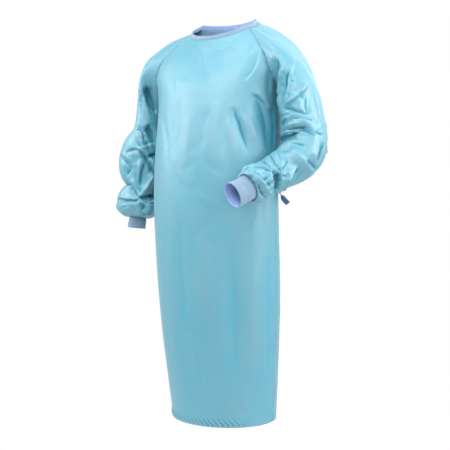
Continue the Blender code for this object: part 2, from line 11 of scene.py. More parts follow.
import bpy
import numpy as np
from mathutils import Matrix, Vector


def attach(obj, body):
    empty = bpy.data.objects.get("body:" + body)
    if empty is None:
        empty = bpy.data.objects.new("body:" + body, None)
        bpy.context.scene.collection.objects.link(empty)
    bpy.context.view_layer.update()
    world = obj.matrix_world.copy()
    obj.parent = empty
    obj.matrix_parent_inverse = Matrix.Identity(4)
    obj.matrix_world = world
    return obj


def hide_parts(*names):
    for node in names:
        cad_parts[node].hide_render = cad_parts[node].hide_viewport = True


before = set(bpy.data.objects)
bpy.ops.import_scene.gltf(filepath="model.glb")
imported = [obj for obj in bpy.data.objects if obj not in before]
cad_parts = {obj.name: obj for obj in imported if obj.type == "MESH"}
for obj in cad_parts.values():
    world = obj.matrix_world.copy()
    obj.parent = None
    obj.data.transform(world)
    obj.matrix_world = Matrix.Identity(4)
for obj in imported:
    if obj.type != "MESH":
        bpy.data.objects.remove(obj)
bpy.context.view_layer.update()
MM = 0.001

# Walls of the solids, which the shells lie in the middle of, and the shells' own
WALL = 0.0015
KNIT_WALL = 0.0020
SEAM_GAP = 0.0003
SHELL_GAP = 0.0001
WRAP_LIFT = 0.0024
FLAP_FLARE = 0.0030
SHEET_LIFT = 0.0016
EDGE_LIFT = 0.0009
CLOTH_THICKNESS = 0.0007
KNIT_THICKNESS = 0.0016
TAPE_THICKNESS = 0.0011
BAND_THICKNESS = 0.0012

# Rows and columns of the shells, and of the solids where a size hangs on them
BODY_STEPS = 216
YOKE_STEPS = 80
SOLID_BODY_STEPS = 18
SOLID_YOKE_STEPS = 12
FRONT_COLUMNS = 130
NECK_STEPS = 40
CAP_RINGS = 54
ARM_RINGS = 140
BEFORE_UNDER = 48
UNDER_OUTER = 64
AFTER_OUTER = 32
FLAP_RISE = 16
EDGE_FALL = 5
TURN_STEPS = 6

# How many rows are smoothed together, and over how many the smoothing fades
ARM_SPREAD = 6
ARM_END = 4
CHEST_SPREAD = 8
CHEST_REACH = 38.4
CHEST_EDGE = 16


# Tables

def rows_of(kind, rows):
    """A table's rows with their columns named."""
    return tuple(kind(*row) for row in rows)


Level = namedtuple("Level", "z side_z half_width centre_x front_y side_y back_y")
LEVELS = (
    Level(-1.232, -1.226, 0.166, 0.006, -0.140, -0.010, 0.118),
    Level(-1.120, -1.120, 0.176, 0.003, -0.152, -0.014, 0.122),
    Level(-0.970, -0.970, 0.189, -0.001, -0.166, -0.022, 0.121),
    Level(-0.830, -0.830, 0.197, -0.002, -0.180, -0.032, 0.114),
    Level(-0.690, -0.690, 0.200, -0.003, -0.192, -0.042, 0.105),
    Level(-0.550, -0.550, 0.201, -0.003, -0.202, -0.048, 0.098),
    Level(-0.420, -0.420, 0.200, -0.002, -0.203, -0.040, 0.098),
    Level(-0.268, -0.268, 0.198, 0.000, -0.190, -0.020, 0.105),
)
Yoke = namedtuple("Yoke", "edge_x edge_y edge_z middle_y middle_z spread")
FRONT_YOKE = (
    Yoke(0.198, -0.020, -0.268, -0.190, -0.268, 90.0),
    Yoke(0.198, -0.056, -0.212, -0.180, -0.224, 80.0),
    Yoke(0.194, -0.078, -0.172, -0.166, -0.190, 72.0),
    Yoke(0.174, -0.082, -0.124, -0.146, -0.150, 66.0),
    Yoke(0.141, -0.062, -0.078, -0.121, -0.108, 62.0),
    Yoke(0.103, -0.030, -0.034, -0.097, -0.073, 62.0),
)
BACK_YOKE = (
    Yoke(0.198, -0.020, -0.268, 0.105, -0.268, 90.0),
    Yoke(0.199, 0.028, -0.206, 0.112, -0.210, 80.0),
    Yoke(0.193, 0.060, -0.152, 0.113, -0.155, 71.0),
    Yoke(0.170, 0.072, -0.100, 0.108, -0.104, 65.0),
    Yoke(0.135, 0.064, -0.049, 0.095, -0.056, 62.0),
    Yoke(0.100, 0.044, 0.000, 0.078, -0.004, 60.0),
)
NECK_SIDE = Vector((0.110, 0.004, -0.020))

Overlap = namedtuple("Overlap", "under_edge outer_edge")
OVERLAPS = (
    Overlap(-0.52, 0.80),
    Overlap(-0.52, 0.79),
    Overlap(-0.50, 0.70),
    Overlap(-0.42, 0.42),
    Overlap(-0.26, 0.18),
)

Way = namedtuple("Way", "x y z")
LEFT_LEAVING = (
    Way(0.86, 0.00, -0.51),
    Way(0.93, -0.30, -0.22),
    Way(0.90, 0.00, -0.44),
    Way(0.93, 0.30, -0.22),
)
RIGHT_LEAVING = (
    Way(0.86, 0.00, -0.51),
    Way(0.93, -0.30, -0.22),
    Way(0.985, 0.00, -0.17),
    Way(0.93, 0.30, -0.22),
)

Arm = namedtuple("Arm", "x y z across deep roll")
RIGHT_ARM = (
    Arm(-0.2520, -0.018, -0.300, 0.043, 0.070, 0),
    Arm(-0.2580, -0.020, -0.340, 0.050, 0.071, 0),
    Arm(-0.2785, -0.022, -0.382, 0.069, 0.074, 0),
    Arm(-0.2850, -0.024, -0.425, 0.076, 0.078, 0),
    Arm(-0.2830, -0.028, -0.468, 0.072, 0.072, 0),
    Arm(-0.2720, -0.032, -0.512, 0.045, 0.054, 0),
    Arm(-0.2895, -0.034, -0.542, 0.071, 0.062, 0),
    Arm(-0.2920, -0.036, -0.570, 0.074, 0.064, 0),
)
LEFT_ARM = (
    Arm(0.2680, -0.020, -0.300, 0.062, 0.085, 0),
    Arm(0.2730, -0.016, -0.345, 0.067, 0.085, 0),
    Arm(0.2760, -0.017, -0.388, 0.070, 0.080, 0),
    Arm(0.2730, -0.038, -0.426, 0.067, 0.071, 0),
    Arm(0.2615, -0.077, -0.456, 0.058, 0.062, 8),
    Arm(0.2410, -0.123, -0.482, 0.053, 0.056, 16),
    Arm(0.2250, -0.170, -0.502, 0.049, 0.052, 24),
    Arm(0.2130, -0.218, -0.519, 0.044, 0.051, 30),
)
Turn = namedtuple("Turn", "along inward")
TURNS = (Turn(0.0, 0.0), Turn(0.016, 0.10), Turn(0.030, 0.42), Turn(0.037, 0.78))
LIP = 0.033

Sleeve = namedtuple("Sleeve", "side arm leaving leaving_pull tuck")
LEFT_SLEEVE = Sleeve(1, LEFT_ARM, LEFT_LEAVING, 1.22, 0.006)
RIGHT_SLEEVE = Sleeve(-1, RIGHT_ARM, RIGHT_LEAVING, 1.80, 0.040)

# The gathers at a sleeve's end: how many, how deep, and how far they run up and round the turn
GATHERS = 15
GATHER_DEPTH = 0.0014
GATHER_SHARE = 0.8
GATHER_REACH = 0.045
GATHER_TURN_ROWS = 14

CUFF_LENGTH = 0.084
CUFF_ACROSS = 0.024
CUFF_DEEP = 0.035
CUFF_RINGS = 30
CUFF_POINTS = 360
CUFF_LAP = 0.004
CUFF_WAIST = 0.0012
CUFF_ROLL = 0.0004
CUFF_SAGS = (0.0009, 0.0006)
CUFF_MOUTH = 0.94
CUFF_FADE = 0.05
MOUTH_SMOOTHING = 0.75
RIBS = 72
RIB_DEPTH = 0.00028
BAND_HEIGHT = 0.015
BAND_LEAN = 0.45
BAND_SIDE_LEAN = 0.70
BAND_ROWS = 12

# The solids' own folds, each through three points, in millimetres. The scene has a share of them
Fold = namedtuple("Fold", "start middle end width height")
SOLID_FOLDS = rows_of(Fold, (
    ((-50, -90, -70), (25, -145, -150), (45, -175, -225), 22, -6),
    ((-25, -105, -90), (30, -120, -112), (80, -90, -85), 15, -4),
    ((175, -95, -155), (185, -90, -220), (190, -65, -285), 20, 7),
    ((155, -125, -250), (180, -100, -320), (195, -65, -400), 26, -14),
    ((110, -165, -285), (135, -155, -355), (145, -150, -420), 18, -9),
    ((100, -170, -305), (108, -170, -380), (120, -170, -470), 17, 6),
    ((140, -145, -300), (160, -135, -350), (175, -120, -410), 17, 6),
    ((10, -190, -260), (10, -200, -355), (10, -205, -475), 30, 5),
    ((-85, -175, -270), (-75, -185, -350), (-65, -195, -440), 20, -5),
    ((-105, -175, -665), (-95, -155, -920), (-75, -130, -1180), 20, 5),
    ((-40, -195, -635), (-40, -175, -855), (-35, -155, -1080), 24, -6),
    ((40, -190, -660), (35, -180, -825), (30, -160, -1000), 28, 7),
    ((110, -170, -635), (105, -150, -910), (100, -125, -1175), 22, -7),
    ((160, -135, -545), (160, -120, -795), (150, -85, -1125), 25, 8),
    ((195, -75, -605), (190, -65, -825), (175, -45, -1095), 20, -7),
    ((-120, 98, -120), (-70, 108, -220), (-50, 105, -330), 24, -6),
    ((125, 98, -115), (90, 108, -200), (75, 102, -300), 22, -6),
    ((-110, 75, -420), (-115, 85, -780), (-100, 95, -1160), 26, 7),
    ((-45, 98, -350), (-40, 108, -750), (-35, 118, -1180), 26, -7),
    ((30, 100, -450), (35, 108, -800), (30, 118, -1170), 27, 6),
    ((100, 80, -380), (105, 90, -720), (95, 100, -1120), 24, -7),
    ((-225, -90, -195), (-218, -78, -230), (-210, -55, -270), 14, -9),
    ((-240, -85, -370), (-225, -70, -340), (-215, -60, -310), 14, -9),
    ((-310, -95, -420), (-260, -95, -395), (-225, -65, -385), 13, 6),
    ((-285, -100, -435), (-245, -88, -422), (-220, -60, -410), 12, -8),
    ((-310, -95, -435), (-295, -100, -465), (-280, -90, -495), 14, -7),
    ((-220, -60, -455), (-240, -70, -500), (-255, -85, -545), 13, 6),
    ((-325, -85, -525), (-265, -90, -522), (-225, -50, -515), 13, -6),
    ((-300, -100, -568), (-255, -90, -575), (-225, -65, -568), 12, -5),
    ((-335, 20, -395), (-300, 52, -415), (-255, 50, -405), 14, -8),
    ((-350, 10, -440), (-315, 45, -468), (-265, 45, -480), 14, 6),
    ((-350, -10, -560), (-325, 20, -568), (-285, 28, -560), 13, -6),
    ((-285, -35, -120), (-290, 0, -170), (-290, 20, -250), 18, -6),
    ((220, -95, -130), (228, -100, -200), (225, -85, -285), 14, -10),
    ((265, -100, -190), (255, -105, -250), (235, -90, -315), 14, -10),
    ((268, -105, -228), (290, -90, -225), (310, -65, -225), 14, 7),
    ((305, -75, -245), (290, -95, -265), (268, -105, -290), 14, -8),
    ((215, -70, -330), (280, -105, -322), (330, -70, -352), 14, 8),
    ((218, -70, -372), (282, -95, -366), (340, -55, -395), 14, -9),
    ((245, -120, -415), (285, -105, -400), (330, -75, -425), 13, 6),
    ((220, -130, -425), (250, -180, -455), (265, -195, -485), 14, 7),
    ((215, -190, -455), (235, -225, -480), (250, -230, -510), 13, -7),
    ((275, -115, -410), (292, -130, -440), (300, -120, -465), 14, 7),
    ((265, -200, -480), (270, -190, -510), (260, -185, -545), 15, -12),
    ((345, 0, -325), (325, 45, -345), (285, 62, -335), 14, 6),
    ((345, -10, -385), (320, 35, -400), (280, 52, -392), 14, -8),
    ((320, -65, -455), (305, -80, -490), (275, -85, -510), 14, -7),
    ((290, -30, -110), (305, 0, -180), (310, 20, -260), 18, -6),
))
FOLD_REACH = 0.05
FOLD_STEPS = 10
FOLD_FADE = 1.3
SOFT_SHARE = 0.45

# The creases that the photograph shows, each through three of its pixels, with width and height in
# millimetres. A crease flattens out about one and a half widths from its line. Steep is the share
# by which its left side, as it runs, is the narrower, and an open end doesn't fade
Crease = namedtuple("Crease", "start middle end width height steep open_start open_end", defaults=(0, 0))
FRONT_CREASES = rows_of(Crease, (
    ((196, 36), (209, 66), (208, 88), 15, 4, -0.6, 0.3),
    ((216, 44), (224, 60), (229, 84), 13, 1.8, 0.3),
    ((203, 43), (219, 51), (238, 39), 8, -2.4, 0.4),
    ((210, 37), (224, 44), (241, 32), 6, -1.3, 0.3),
    ((260, 46), (252, 70), (239, 82), 9, -3.2, 0.5),
    ((257, 38), (252, 48), (246, 58), 6, -1.6, 0.2),
    ((264, 52), (270, 78), (269, 106), 13, 4, 0.1),
    ((249, 90), (261, 98), (269, 108), 6, 5.5, -0.7, 0, 1),
    ((251, 93), (262, 112), (268, 146), 14, -4.8, -0.2, 0, 1),
    ((270, 100), (274, 120), (274, 146), 8, -4, 0.2, 0, 1),
    ((231, 106), (239, 122), (248, 151), 9, -4.8, 0.4, 0, 0.6),
    ((229, 110), (230, 135), (234, 160), 6, 2.4, -0.3, 0, 0.4),
    ((244, 110), (252, 126), (256, 148), 10, 3.2, 0.3),
    ((243, 109), (247, 113), (252, 116), 4, -1.4, 0.4),
    ((212, 104), (203, 132), (200, 168), 14, -2.8, 0.4),
    ((219, 96), (214, 130), (209, 176), 16, 2.6, 0.3),
    ((225, 108), (223, 130), (221, 160), 11, -2.2, -0.3),
    ((182, 92), (177, 125), (174, 165), 14, -2.6, 0.3),
    ((190, 104), (188, 135), (186, 172), 13, 2, 0.2),
    ((166, 60), (172, 78), (174, 98), 10, -2, 0.4),
    ((160, 110), (166, 140), (167, 176), 12, -3, -0.3),
    ((248, 168), (240, 195), (232, 226), 9, -2.6, 0.4),
    ((256, 206), (252, 222), (247, 240), 8, -2.2, 0.5),
    ((267, 202), (264, 214), (263, 232), 6, -2.2, 0.5),
    ((242, 208), (238, 224), (233, 246), 8, 1.6, 0.3),
    ((181, 196), (182, 270), (190, 350), 16, -3, 0.3),
    ((204, 206), (207, 280), (212, 345), 20, 2.8, 0.2),
    ((192, 300), (197, 356), (204, 404), 14, -3, -0.5),
    ((206, 384), (212, 400), (219, 411), 10, 1.6, 0.4),
    ((231, 240), (233, 310), (236, 380), 17, -2.6, 0.3),
    ((254, 250), (252, 320), (250, 400), 18, 3, 0.2),
    ((268, 246), (268, 320), (265, 400), 11, -3, -0.3),
    ((240, 395), (246, 408), (252, 416), 9, 1.8, -0.3),
))
LEFT_CREASES = rows_of(Crease, (
    ((283, 62), (280, 88), (278, 114), 14.9, 3.4, 0.57, 0, 0.2),
    ((296, 62), (291, 84), (284, 112), 13.8, -4.5, 0.61, 0, 0.2),
    ((309, 84), (298, 95), (284, 108), 17.2, 6.2, 0.65, 0.1, 0.2),
    ((314, 90), (309, 104), (312, 118), 13.8, -3.4, 0.53),
    ((290, 144), (299, 158), (314, 173), 18, 6.7, 0.57, 0, 0.3),
    ((309, 160), (300, 176), (290, 192), 17.2, -6.2, -0.57, 0, 0.5),
    ((270, 160), (262, 172), (255, 190), 12.6, 3.4, 0.53, 0, 0.4),
    ((320, 128), (313, 148), (318, 168), 16.1, 4.5, 0.53),
    ((279, 52), (276, 80), (275, 98), 8.6, -9.7, 0.57, 0, 0.3),
    ((277, 46), (272, 66), (274, 92), 13, 4.8, 0.45),
    ((284, 58), (281, 80), (278, 114), 8.6, 7.8, -0.57, 0, 0.2),
    ((291, 66), (286, 84), (279, 118), 6.5, -9.1, 0.65, 0, 0.3),
    ((296, 55), (292, 66), (288, 78), 13, 3.9, 0.53),
    ((289, 80), (297, 80), (306, 85), 7.2, -3.6, 0.57),
    ((306, 86), (296, 96), (284, 108), 8.6, 8.1, 0.69, 0.2),
    ((301, 88), (293, 94), (284, 101), 8.6, -5.8, 0.45),
    ((284, 108), (296, 110), (309, 114), 6.5, -4.8, 0.65, 0.3),
    ((286, 113), (300, 114), (316, 118), 8.6, 4.6, 0.61, 0.2),
    ((281, 116), (286, 114), (291, 113), 4.3, -3.9, 0.57, 0.5),
    ((279, 125), (283, 122), (288, 118), 6.5, -5.6, 0.45, 0.3),
    ((287, 122), (302, 118), (318, 123), 8.6, -5.2, -0.57),
    ((283, 130), (291, 124), (304, 124), 7.8, 5.8, 0.53),
    ((286, 131), (298, 128), (309, 127), 5, -6.8, 0.65),
    ((279, 135), (292, 131), (306, 131), 7.2, 6.5, 0.45, 0.6),
    ((278, 141), (288, 136), (298, 132), 7.8, -6.7, 0.57, 1, 0.3),
    ((297, 133), (306, 132), (318, 138), 7.2, -6.2, -0.61, 0.5),
    ((308, 94), (306, 105), (309, 115), 6.5, -3.6, 0.61),
    ((313, 84), (317, 102), (321, 122), 8.6, -2.9, 0.61),
    ((322, 128), (320, 133), (314, 129), 7.2, 4.3, 0.57),
    ((324, 141), (322, 154), (317, 166), 8.5, -9, 0.61),
    ((318, 136), (318, 150), (314, 164), 7.2, 5.2, 0.53),
    ((289, 143), (299, 143), (309, 149), 8.6, -5.5, 0.61),
    ((282, 148), (286, 151), (291, 149), 5, -4.8, 0.53),
    ((277, 151), (286, 144), (300, 138), 8.6, 5.2, 0.57),
    ((262, 158), (268, 165), (275, 173), 5.7, -5.8, 0.61, 0.3, 0.5),
    ((267, 154), (272, 163), (279, 172), 5.7, 5.5, 0.53, 0.3, 0.5),
    ((270, 153), (276, 163), (281, 172), 5, -5.5, 0.57, 0.3, 0.5),
    ((273, 150), (279, 161), (282, 173), 6.5, 6.8, 0.57, 0.3, 0.6),
    ((291, 146), (298, 157), (314, 172), 9.5, 8.4, 0.53, 0, 0.3),
    ((305, 160), (312, 164), (317, 172), 8.6, -5.5, 0.53),
    ((300, 165), (294, 176), (287, 190), 8.5, -9.1, -0.57, 0, 0.5),
    ((297, 165), (290, 176), (284, 188), 5, 7.2, 0.53, 0, 0.6),
    ((289, 157), (285, 166), (281, 174), 8.6, -4.8, 0.57, 0, 0.3),
    ((278, 172), (279, 181), (279, 190), 7.9, -17.9, 0.45, 0.4, 1),
    ((240, 169), (256, 167), (281, 174), 6.5, 7.5, -0.57, 0.3, 0.5),
    ((271, 170), (272, 180), (272, 190), 6, 6.7, 0.57, 0.3, 0.6),
    ((288, 168), (287, 179), (285, 189), 7.2, 6.7, -0.57, 0.3, 0.6),
    ((252, 170), (264, 177), (272, 190), 8.6, -9.4, -0.57, 0, 0.5),
    ((242, 171), (258, 178), (270, 194), 6.5, 7.5, 0.49, 0.2, 0.4),
    ((256, 180), (259, 189), (264, 197), 7.2, -7.5, -0.61, 0, 0.6),
    ((246, 174), (251, 179), (254, 186), 5, -4.6, 0.53, 0, 0.4),
))
RIGHT_CREASES = rows_of(Crease, (
    ((146, 84), (150, 96), (156, 110), 6.5, -13, 0.61, 0, 1),
    ((140, 84), (145, 98), (150, 116), 7.9, 4.5, 0.45, 0, 0.3),
    ((136, 128), (139, 141), (149, 150), 7.9, 5, -0.57, 0, 0.3),
    ((120, 152), (136, 150), (150, 173), 12.6, 6.2, 0.57, 0.3, 0.6),
    ((124, 158), (131, 168), (128, 180), 14.9, -4.5, 0.45),
    ((155, 170), (147, 184), (139, 198), 13.8, 6.7, -0.57, 0.5, 0.6),
    ((118, 207), (130, 203), (141, 198), 9.2, 4.5, 0.45, 0.2, 0.4),
    ((147, 124), (151, 131), (154, 141), 12.5, -17, 0.45, 0, 1),
    ((133, 132), (141, 131), (144, 146), 4.8, -5.9, -0.65, 0, 0.2),
    ((140, 128), (148, 136), (155, 146), 6.9, 6.3, 0.53, 0, 0.6),
    ((145, 140), (148, 145), (150, 151), 6.9, -6.3, 0.45),
    ((136, 152), (145, 147), (155, 144), 8.3, 7.2, 0.53, 0, 0.6),
    ((147, 156), (151, 155), (155, 154), 6.9, -14, 0.53, 0, 1),
    ((125, 155), (136, 149), (147, 159), 4.8, -9.4, 0.65, 0, 0.5),
    ((145, 157), (150, 163), (154, 172), 8.3, -10.1, 0.61, 0.5, 1),
    ((134, 147), (146, 151), (155, 166), 6.9, 6.3, 0.45, 0.2, 0.8),
    ((120, 153), (124, 160), (130, 165), 6.2, -6.6, 0.57, 0.4),
    ((124, 150), (127, 157), (134, 162), 6.9, 4, 0.45),
    ((146, 161), (142, 172), (140, 187), 9, -9.7, -0.57, 0.2, 0.2),
    ((139, 157), (139, 170), (138, 184), 6.9, 6.6, -0.57),
    ((131, 161), (129, 171), (125, 177), 6.9, -4.4, 0.57),
    ((153, 171), (147, 184), (140, 197), 8.3, 10.1, -0.57, 0.3, 0.6),
    ((154, 176), (154, 187), (152, 196), 6.2, -9.4, -0.53, 0.4, 1),
    ((128, 183), (134, 189), (139, 198), 6.9, -7.8, 0.53, 0, 0.8),
    ((132, 176), (136, 186), (140, 197), 6.2, 5.6, 0.45, 0, 0.5),
    ((137, 199), (147, 196), (156, 196), 6.2, -14.9, 0.57, 0.3, 1),
    ((118, 198), (128, 200), (138, 200), 4.2, -7.5, 0.61, 0.6, 0.6),
    ((120, 205), (131, 203), (142, 205), 8.3, 4.7, 0.53, 0.2),
    ((138, 202), (144, 206), (141, 210), 6.2, -8.6, 0.45, 0.2, 0.2),
    ((139, 200), (147, 204), (154, 207), 6.2, 5.6, 0.49, 0, 0.4),
    ((142, 215), (148, 214), (153, 210), 5.5, -7.8, 0.53, 0.4, 0.4),
    ((118, 212), (126, 209), (134, 204), 6.2, 3.8, 0.53),
    ((152, 46), (146, 64), (144, 82), 15.2, 3.1, 0.53),
    ((144, 88), (142, 104), (142, 120), 8.5, -3.5, 0.57),
    ((152, 78), (150, 98), (153, 116), 12.6, -6.3, 0.53),
    ((171, 50), (163, 72), (160, 96), 8.3, 4.4, 0.53),
))
# Creases of the hidden sides, through three points of the gown in millimetres
BACK_CREASES = rows_of(Crease, (
    ((-150, 90, -120), (-100, 110, -240), (-85, 105, -360), 14, -5, 0.5),
    ((-60, 110, -140), (-30, 110, -250), (-35, 105, -380), 12, 4, -0.5),
    ((140, 90, -120), (100, 110, -220), (90, 105, -340), 14, -5, -0.5),
    ((50, 110, -160), (30, 112, -280), (40, 105, -400), 12, 4, 0.5),
    ((160, 50, -500), (100, 90, -460), (20, 100, -440), 12, 6, 0.5, 0.3),
    ((160, 50, -540), (90, 90, -560), (0, 100, -600), 13, -6, 0.5, 0.3),
    ((165, 45, -520), (120, 80, -510), (60, 95, -510), 8, -4, 0.4, 0.3),
    ((-180, 20, -460), (-120, 70, -500), (-60, 90, -560), 13, 5, -0.5),
    ((-120, 70, -620), (-120, 80, -850), (-100, 90, -1150), 16, -5, 0.5),
    ((-70, 100, -600), (-60, 110, -860), (-55, 115, -1160), 14, 4, 0.5),
    ((0, 105, -660), (10, 112, -900), (10, 118, -1200), 16, -4, -0.5, 0, 0.3),
    ((60, 100, -600), (60, 110, -850), (55, 115, -1180), 15, 5, 0.5),
    ((130, 60, -600), (125, 70, -850), (110, 80, -1140), 14, -5, -0.5),
    ((-190, 50, -200), (-160, 80, -270), (-120, 100, -330), 12, -6, 0.5, 0.3),
    ((190, 50, -200), (160, 80, -280), (110, 100, -360), 12, -6, -0.5, 0.3),
    ((180, 60, -160), (140, 90, -200), (80, 110, -260), 10, 4, 0.5, 0.3),
    ((350, 0, -330), (320, 50, -360), (270, 60, -350), 10, -7, 0.6),
    ((350, 0, -400), (320, 35, -420), (270, 50, -400), 10, 6, -0.6),
    ((300, 60, -200), (320, 50, -270), (300, 65, -330), 12, -6, 0.6),
    ((-350, 0, -400), (-310, 50, -430), (-260, 50, -420), 10, -8, 0.6),
    ((-355, 0, -470), (-310, 45, -490), (-250, 40, -470), 10, 6, -0.6),
    ((-300, 50, -200), (-310, 50, -280), (-280, 60, -340), 12, -6, 0.6),
    ((-340, -10, -560), (-310, 20, -565), (-270, 30, -555), 9, -6, 0.6),
))
PX_MIDDLE = 225
CREASE_STEPS = 8
CREASE_REACH = 3.2
CREASE_CUSP = 0.0014
CREASE_SPAN = 1.5
CREASE_FOOT = 5.0
CREASE_END = 0.35
CREASE_FACING = 2.2

# A crease's pixel is laid on the nearest point of the cloth in its line of sight
ASIDE_COST = 6
TURNED_AWAY = -0.02
TURNED_COST = 0.5

# Small wrinkles, strewn evenly over the front, the back and both sleeves
Strewn = namedtuple("Strewn", "seed count width height slant")
STREWN = (
    Strewn(11, 70, 0.009, 0.0007, 1.1),
    Strewn(12, 90, 0.014, 0.0018, 1.1),
    Strewn(13, 80, 0.008, 0.0016, 0.7),
    Strewn(14, 80, 0.008, 0.0016, 0.7),
)
STREWN_LENGTH = (10, 26)
STREWN_SWAY = 4
STREWN_STEPS = 6
STREWN_SIZE = (0.5, 1.3)
STREWN_STEEP = 0.6

# The hem's stitched depth, its slanting puckers, and the lengths over which they vary
HEM_DEPTH = 0.020
HEM_PITCH = 0.016
HEM_SLANT = 0.021
HEM_PUCKER = 0.0022
HEM_UNEVEN = (0.041, 0.093)
HEM_STEP = 0.0005
HEM_STEP_FADE = 0.004
PUCKER_TOP = 0.006
PUCKER_FADE = 0.030
PUCKER_AT_EDGE = 0.35
PUCKER_RISE = 0.010
SEAM_DIP = 0.0002

# The waist tie
TIE_WIDTH = 0.015
TIE_WALL = 0.0015
TIE_HEIGHT = -0.528
TIE_START = 0.70
TAB_START = 1.10
TIE_SWAY = 0.0007
TIE_CURL = 0.25
TIE_RISE = 1.6
TIE_STEP = 0.02
HALVINGS = 30
KNOT_SHARE = 0.93
KNOT_SIZE = Vector((0.018, 0.020, 0.010))
KNOT_LEAN = 0.45
KNOT_TUCK = 0.30
KNOT_CREASE = 0.05
KNOT_LAP = 0.002
ON_FLAP = WRAP_LIFT + FLAP_FLARE + WALL / 2 + SEAM_GAP + TIE_WALL / 2
TAPE_CLEAR = 0.0004
ON_FRONT = (CLOTH_THICKNESS + TAPE_THICKNESS) / 2 + TAPE_CLEAR
TAIL_DROP = 0.032
TAIL_OUT = 0.026
TAIL_FORWARD = -0.004
TAIL_TWIST = 1.5
TAIL_CURL = 0.0010
TAPE_STEPS = 40
TAPE_COLUMNS = 7
KNOT_ROWS = 11
KNOT_POINTS = 56

# Stitches, and each thread's rings as their place along it, their size and their rise
STITCH_PITCH = 0.0036
STITCH_LENGTH = 0.0026
STITCH_RADIUS = 0.00028
STITCH_SIDES = 4
STITCH_AIM = 0.0005
STITCH_RINGS = ((-0.5, 0.4, -0.6), (-0.22, 1.0, 0.5), (0.22, 1.0, 0.5), (0.5, 0.4, -0.6))
SEAM_INSET = 0.003
FLAP_INSET = 0.010
BAND_INSET = 0.0022
INSET_ROWS = 12

# How the height and the bend of the cloth make a crest or a hollow, which the cloth's colour turns into
# painted highlight and painted shade
CREST_HEIGHT = 0.009
CREST_BEND = 110.0
SHORTEST_STEP = 0.0012

# Points that round to one place share their normal
PLACES_PER_METRE = 1e6

# Colours, deep in the troughs and light on the crests. On the cloth and the knit this is painted shade and
# painted highlight, and the crevice colour is painted shade in the sharpest hollows
CLOTH_DEEP_AND_PAINTED_SHADE = (0.024, 0.236, 0.328)
CLOTH_LIGHT_AND_PAINTED_HIGHLIGHT = (0.074, 0.232, 0.302)
CREVICE_PAINTED_SHADE = (0.0, 0.140, 0.205)
INSIDE_DEEP_AND_PAINTED_SHADE = (0.13, 0.28, 0.42)
INSIDE_LIGHT_AND_PAINTED_HIGHLIGHT = (0.22, 0.40, 0.54)
# The knit's deep and light colours are painted shade between its ribs and painted highlight on them
KNIT_DEEP_AND_PAINTED_SHADE = (0.10, 0.18, 0.27)
KNIT_LIGHT_AND_PAINTED_HIGHLIGHT = (0.16, 0.25, 0.36)
KNIT_INSIDE_DEEP_AND_PAINTED_SHADE = (0.24, 0.36, 0.66)
KNIT_INSIDE_LIGHT_AND_PAINTED_HIGHLIGHT = (0.34, 0.48, 0.76)
TAPE_DEEP = (0.03, 0.08, 0.17)
TAPE_LIGHT = (0.09, 0.20, 0.36)
THREAD_DEEP = (0.05, 0.20, 0.28)
THREAD_LIGHT = (0.14, 0.28, 0.35)
FLOOR_DEEP = (0.72, 0.73, 0.74)
FLOOR_LIGHT = (0.76, 0.76, 0.76)
WHITE = (1.0, 1.0, 1.0, 1.0)
FLOOR_SIDES = 96

# Pitches of the weaves, knits and twists, in metres
WEAVE_PITCH = 0.0005
WALE_PITCH = 0.0011
COURSE_PITCH = 0.0009
RIB_PITCH = 0.0011
TWILL_PITCH = 0.0009
TWIST_PITCH = 0.0007

# What each sheet was cut to, in metres and square metres
Cut = namedtuple("Cut", "width length area held rests_on extras")

# Camera
AZIMUTH = 27.0
CAMERA_HEIGHT = -0.633
CAMERA_SIDE = 0.0047
CAMERA_DISTANCE = 2.5
CAMERA_LENS = 63.78
CAMERA_SENSOR = 36.0
FOCAL_PX = 797.2
RIGHTWARD = Vector((math.cos(math.radians(AZIMUTH)), math.sin(math.radians(AZIMUTH)), 0))
INWARD = Vector((-math.sin(math.radians(AZIMUTH)), math.cos(math.radians(AZIMUTH)), 0))
CAMERA_AT = RIGHTWARD * CAMERA_SIDE - INWARD * CAMERA_DISTANCE + Vector((0, 0, CAMERA_HEIGHT))
FLOOR_Z = -1.75
FLOOR_RADIUS = 1.3
BACKDROP_RADIUS = 9.0
WORLD_STRENGTH = 0.78
LAMPS_LOOK_AT = (0.0, -0.08, -0.45)
LAMPS = (
    ("key", (0.45, -2.35, 1.30), 1.9, 68.0, (1.0, 0.995, 0.99)),
    ("right", (2.5, 0.4, 0.50), 2.0, 84.0, (1.0, 1.0, 1.0)),
    ("left", (-2.3, -1.5, 0.75), 2.1, 72.0, (1.0, 0.99, 0.98)),
    ("top", (0.1, -0.5, 2.1), 1.4, 22.0, (1.0, 1.0, 1.0)),
    ("low", (1.9, -2.4, -0.4), 1.6, 15.0, (1.0, 1.0, 1.0)),
    ("back", (0.3, 2.6, 1.2), 2.2, 26.0, (1.0, 1.0, 1.0)),
)


# The gown's plain shape

Surface = namedtuple("Surface", "grid closed outside")


def mix(a, b, share):
    return a + (b - a) * share


def ease(value):
    """A smooth step from 0 to 1."""
    value = min(max(value, 0.0), 1.0)
    return value * value * (3 - 2 * value)


def eased(values):
    """The same for an array."""
    values = np.clip(values, 0, 1)
    return values * values * (3 - 2 * values)


def catmull(a, b, c, d, f):
    return b + 0.5 * f * (c - a + f * (2 * a - 5 * b + 4 * c - d + f * (3 * (b - c) + d - a)))


def along(rows, place):
    """The row at a place, 0 at the first, on a smooth curve through all of them."""
    last = len(rows) - 1
    place = min(max(place, 0.0), last)
    k = min(int(place), last - 1)
    four = [rows[min(max(k + step, 0), last)] for step in (-1, 0, 1, 2)]
    return type(rows[0])(*[catmull(a, b, c, d, place - k) for a, b, c, d in zip(*four)])


